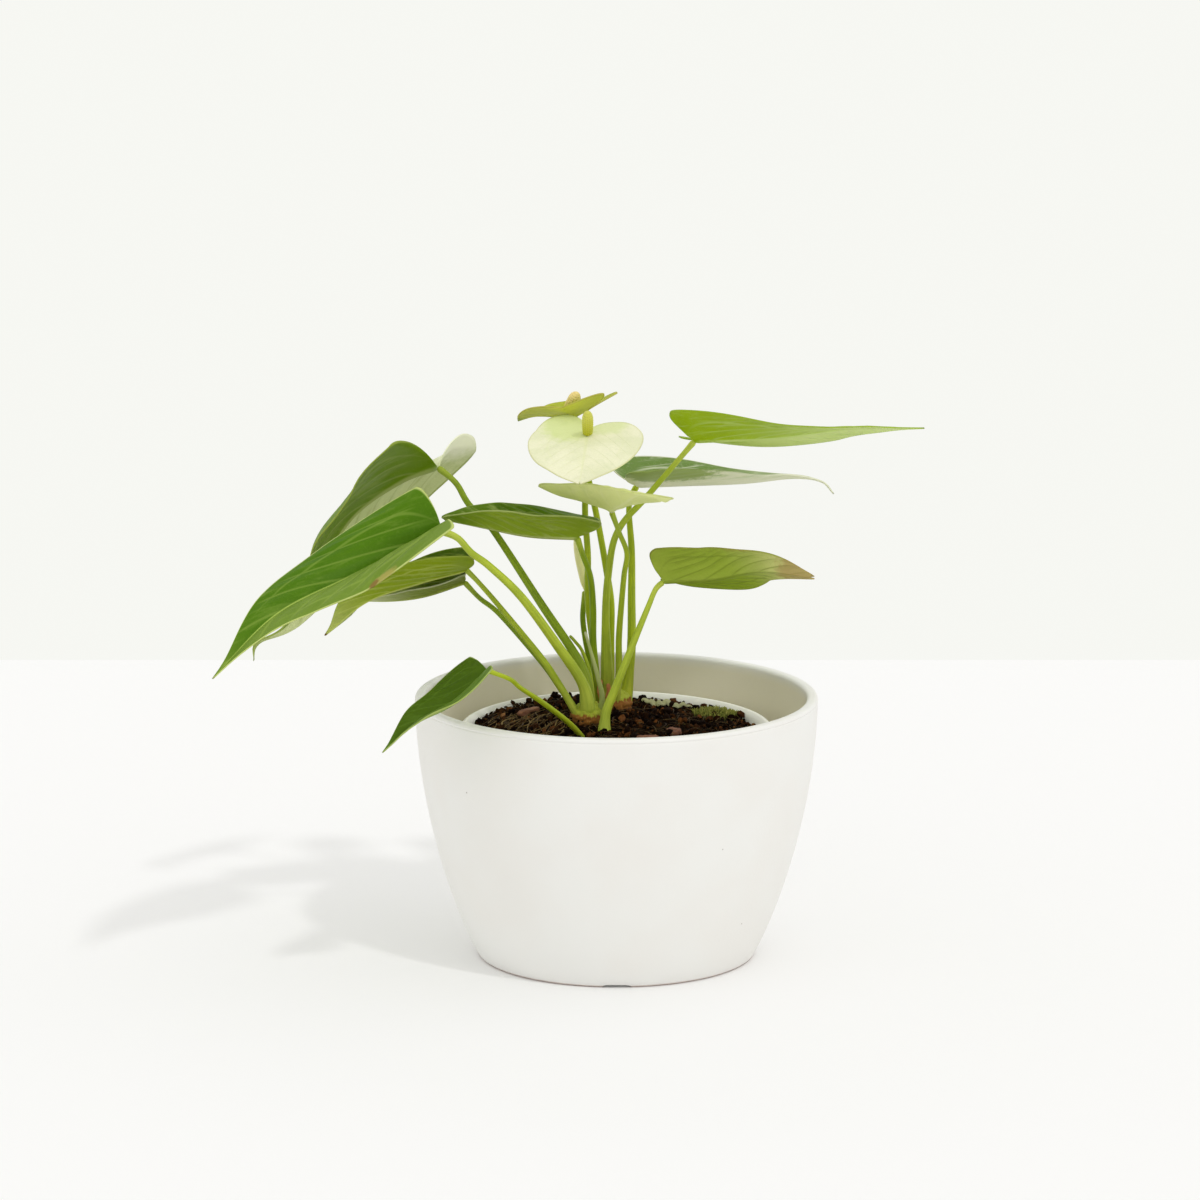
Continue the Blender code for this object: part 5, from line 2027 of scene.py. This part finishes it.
def blades() -> list[Blade]:
    """Every leaf and spathe, placed.

    Returns:
        The blades.
    """
    f = FINISHES
    return [
        Blade("leaf_big_left",
              mm((-66, -22, 170), (-100, -35, 155), (-127, -57, 145), (-149, -86, 127)),
              half_widths=(0.0215, 0.0215), roll=(-20, -14), fold=(68, 28), curl=-66,
              lobes=(0.1, 0.1), lift=6, slim=1.1, finish=f["big_left"]),
        Blade("leaf_rear_left",
              mm((-69, 30, 185), (-84, 37, 178), (-102, 44, 164), (-115, 51, 144), (-129, 58, 118),
                 (-142, 66, 108), (-144, 73, 99)),
              half_widths=(0.036, 0.036), roll=(11, 6), fold=(40, -15), curl=-56,
              lobes=(0.1, 0.35), lift=50, slim=1.5, finish=f["rear_left"]),
        Blade("leaf_low_left",
              mm((-58, 14, 148), (-77, 13, 143), (-96, 13, 136), (-113, 23, 120)),
              half_widths=(0.0205, 0.0205), roll=(7, 18), fold=(10, 21), curl=22, lobes=(0.5, 0.5),
              lift=-8, slim=1.0, finish=f["low_left"]),
        Blade("leaf_low_left_rear",
              mm((-59, 29, 140), (-74, 29, 135), (-88, 33, 132), (-103, 36, 131)),
              half_widths=(0.0135, 0.0135), roll=(2, -2), fold=(31, 33), curl=-24,
              lobes=(0.3, 0.3), lift=0, slim=1.0, finish=f["low_left_rear"]),
        Blade("leaf_centre_dark",
              mm((-15, 1, 163), (-33, 1, 164), (-50, 1, 167), (-67, 1, 170)),
              half_widths=(0.020, 0.020), roll=(9, -2), fold=(40, 49), curl=-30, lobes=(1.3, 1.3),
              lift=-4, slim=0.6, finish=f["centre_dark"]),
        Blade("leaf_centre_pale",
              mm((-2, 3, 173), (3, -11, 179), (9, -24, 185), (15, -38, 186), (21, -51, 188)),
              half_widths=(0.0145, 0.031), roll=(-4, -28), fold=(18, -6), curl=0, lobes=(0.3, 0.2),
              lift=3, slim=1.0, finish=f["centre_pale"]),
        Blade("leaf_right_middle",
              mm((8, 35, 177), (28, 39, 177), (50, 43, 177), (69, 46, 178), (80, 48, 176),
                 (85, 49, 171)),
              half_widths=(0.022, 0.022), roll=(-2, -10), fold=(11, 7), curl=25, lobes=(0.7, 0.7),
              lift=10, slim=1.1, finish=f["right_middle"]),
        Blade("leaf_top_right",
              mm((30, 10, 199), (59, 7, 201), (88, 3, 205), (117, -2, 206)),
              half_widths=(0.026, 0.026), roll=(-24, -15), fold=(16, -4), curl=-5,
              lobes=(0.7, 0.7), lift=14, slim=0.9, finish=f["top_right"]),
        Blade("leaf_low_right",
              mm((18, 0, 146), (37, -4, 148), (55, -14, 153), (75, -18, 151)),
              half_widths=(0.018, 0.018), roll=(-35, -49), fold=(39, 23), curl=-33,
              lobes=(0.4, 0.4), lift=-4, slim=0.7, finish=f["low_right"]),
        Blade("leaf_small_front",
              mm((-48, -63, 125), (-61, -68, 114), (-75, -72, 107), (-87, -77, 97)),
              half_widths=(0.0155, 0.0155), roll=(5, -16), fold=(28, 31), curl=-25,
              lobes=(0.1, 0.1), lift=0, slim=1.1, finish=f["small_front"]),
        Blade("spathe_front",
              mm((-11, 4, 203), (-12, -12, 199), (-13, -26, 195), (-14, -38, 191)),
              half_widths=(0.022, 0.022), roll=(2, 2), fold=(3, 5), curl=0, lobes=(1.1, 2.2),
              lift=2, slim=1.0, finish=f["spathe_front"], outline=SPATHE_OUTLINE, slot=Slot.SPATHE,
              quilt=0.00006, wave=0.0002),
        Blade("spathe_rear",
              mm((-16, 24, 206), (-23, 28, 206), (-31, 33, 205), (-38, 37, 202)),
              half_widths=(0.013, 0.015), roll=(6, 0), fold=(12, 8), curl=15, lobes=(4.2, 4.0),
              lift=30, slim=1.0, finish=f["spathe_rear"], outline=SPATHE_OUTLINE, slot=Slot.SPATHE,
              quilt=0.00006, wave=0.0002),
    ]


def stalks() -> list[Stalk]:
    """Every stalk and sheath, placed from its blade down to its root.

    Returns:
        The stalks.
    """
    plain = StalkFinish("stalk_plain")
    # painted shade: a darker copy of the stalk finish for stalks deep in the plant
    deep = StalkFinish("stalk_deep", (0.28, 0.40, 0.012), (0.40, 0.50, 0.04), (0.38, 0.46, 0.035),
                       (0.07, 0.14, 0.005))
    fresh = StalkFinish("stalk_fresh", (0.45, 0.55, 0.015), (0.50, 0.60, 0.03), (0.45, 0.50, 0.03))
    # painted light: a brighter copy of the stalk finish for outer stalks that catch the light
    light = StalkFinish("stalk_light", (0.50, 0.60, 0.05), (0.57, 0.65, 0.09), (0.50, 0.57, 0.07),
                        (0.22, 0.32, 0.02))
    pale = StalkFinish("sheath_pale", (0.48, 0.53, 0.20), (0.62, 0.64, 0.38), (0.36, 0.43, 0.09),
                       (0.28, 0.36, 0.08))
    return [
        Stalk("stalk_big_left",
              mm((-66, -22, 170), (-60, -21, 167), (-55, -19, 161), (-48, -16, 155),
                 (-36, -11, 142), (-22, -4, 121), (-13, 0, 106), (-10.5, 1, 94)),
              radii=(0.0012, 0.0022), finish=light, sheath=1.35, sheath_from=0.86, squash=0.85),
        Stalk("stalk_rear_left",
              mm((-69, 30, 185), (-62, 29, 179), (-57, 27, 171), (-48, 24, 162), (-29, 16, 134),
                 (-16, 11, 115), (-12, 9, 105), (-11, 8, 94)),
              radii=(0.0011, 0.0019), finish=deep, sheath=1.6, sheath_from=0.76, squash=0.85),
        Stalk("stalk_low_left",
              mm((-58, 14, 148), (-53, 13, 143), (-45, 11, 134), (-29, 6, 115), (-22, 3, 105),
                 (-14, 3, 91)),
              radii=(0.0009, 0.0015), finish=plain),
        Stalk("stalk_low_left_rear",
              mm((-59, 29, 140), (-53, 27, 134), (-45, 24, 128), (-29, 17, 111), (-21, 11, 101),
                 (-13, 7, 90)),
              radii=(0.0009, 0.0014), finish=deep),
        Stalk("stalk_centre_dark",
              mm((-15, 1, 163), (-13, 4, 156), (-10, 9, 146), (-9, 14, 133), (-9, 18, 119),
                 (-8, 21, 106), (-7, 23, 91)),
              radii=(0.0010, 0.0016), finish=deep),
        Stalk("stalk_centre_pale",
              mm((-2, 3, 173), (1, 4, 164.5), (4, 6, 156), (3, 9, 147), (2, 13, 135), (1, 17, 120),
                 (1, 19, 107), (0, 22, 91)),
              radii=(0.0009, 0.0014), finish=plain),
        Stalk("stalk_right_middle",
              mm((8, 35, 177), (5, 36, 169), (6, 36, 151), (6, 35, 132), (6, 34, 115),
                 (5, 33, 103), (3, 31, 91)),
              radii=(0.0010, 0.0020), finish=fresh, sheath=1.55, sheath_from=0.82),
        Stalk("stalk_top_right",
              mm((30, 10, 199), (20, 10.5, 187), (10, 12, 175), (3, 13.5, 167), (-1, 14, 159),
                 (-3, 18, 146), (-4, 20, 133), (-4, 22, 119), (-3.5, 24, 103), (-3.3, 25.5, 92)),
              radii=(0.0010, 0.0017), finish=light, sheath=1.7, sheath_from=0.66, squash=0.8),
        Stalk("stalk_low_right",
              mm((18, 0, 146), (15, 0, 143), (12, -1, 136), (7, -3, 124), (3, -5, 114),
                 (-1, -6, 104), (-4, -7, 96), (-5, -8, 84)),
              radii=(0.0009, 0.0020), finish=light, sheath=1.6, sheath_from=0.82),
        Stalk("stalk_small_front",
              mm((-48, -63, 125), (-40, -55, 120), (-36, -48, 115), (-27, -36, 106),
                 (-17, -20, 94), (-10, -10, 83)),
              radii=(0.0008, 0.0012), finish=fresh),
        Stalk("stalk_flower_front",
              mm((-11, 4, 203), (-12, 14.5, 190), (-12, 20, 178), (-12, 20.5, 167), (-11, 21, 152),
                 (-11, 24, 134), (-9, 27, 116), (-7.5, 28.5, 101), (-6, 28, 91)),
              radii=(0.0011, 0.0014), finish=fresh),
        Stalk("stalk_flower_rear",
              mm((-16, 24, 206), (-13, 25, 191), (-10, 25.5, 178), (-7, 26.5, 163.5),
                 (-4, 28, 146), (-2, 29, 132), (-2, 31, 117), (-2, 31, 101), (-2, 29, 91)),
              radii=(0.0011, 0.0014), finish=fresh),
        Stalk("stalk_bud",
              mm((-12, 30.5, 136), (-13, 31.5, 126), (-12, 33, 116.5), (-10, 34.5, 106),
                 (-9, 34, 98), (-7, 32, 91)),
              radii=(0.0010, 0.0013), finish=deep),
        Stalk("sheath_pale",
              mm((-12, -3, 127), (-9.5, -2, 118), (-7, 0, 108), (-5.5, 2, 100), (-7, 3, 92)),
              radii=(0.0005, 0.0012), finish=pale, knee=1.0, squash=0.6),
        Stalk("old_stalk_stub",
              mm((-18, 18, 121), (-16, 17, 119), (-13, 16, 115), (-10, 14, 106), (-8.5, 11.5, 92)),
              radii=(0.0006, 0.0009), finish=plain, knee=1.0),
    ]


def spadices() -> list[Spadix]:
    """The two flower spikes.

    Returns:
        The front one and the rear one.
    """
    return [
        Spadix("spadix_front", (-0.011, 0.003, 0.203), (-0.011, -0.006, 0.213), 0.0021,
               SpadixFinish("spadix_front", (0.52, 0.52, 0.02), (0.62, 0.62, 0.09))),
        Spadix("spadix_rear", (-0.019, 0.025, 0.207), (-0.015, 0.020, 0.216), 0.0024,
               SpadixFinish("spadix_rear", (0.72, 0.60, 0.08), (0.86, 0.68, 0.24))),
    ]


def clear_startup() -> None:
    """Removes what a new file holds besides the frame."""
    kept = set(frame["nodes"].values()) | set(frame["bodies"].values())
    for thing in list(bpy.data.objects):
        if thing not in kept:
            bpy.data.objects.remove(thing, do_unlink=True)


def main() -> None:
    """Builds every sub-assembly in order."""
    logging.basicConfig(level=logging.INFO, format="%(message)s")
    clear_startup()
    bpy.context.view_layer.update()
    bpy.context.scene.view_settings.view_transform = "Standard"
    Studio().build()
    Planter().build()
    pot = NurseryPot()
    pot.build()
    bed = SoilBed(pot=pot)
    bed.build()
    Litter(bed).build()
    Crown().build()
    plant: list[Union[Stalk, Blade, Spadix, Bud]] = [*stalks(), *blades(), *spadices(), Bud()]
    for part in plant:
        part.build()


if __name__ == "__main__":
    main()
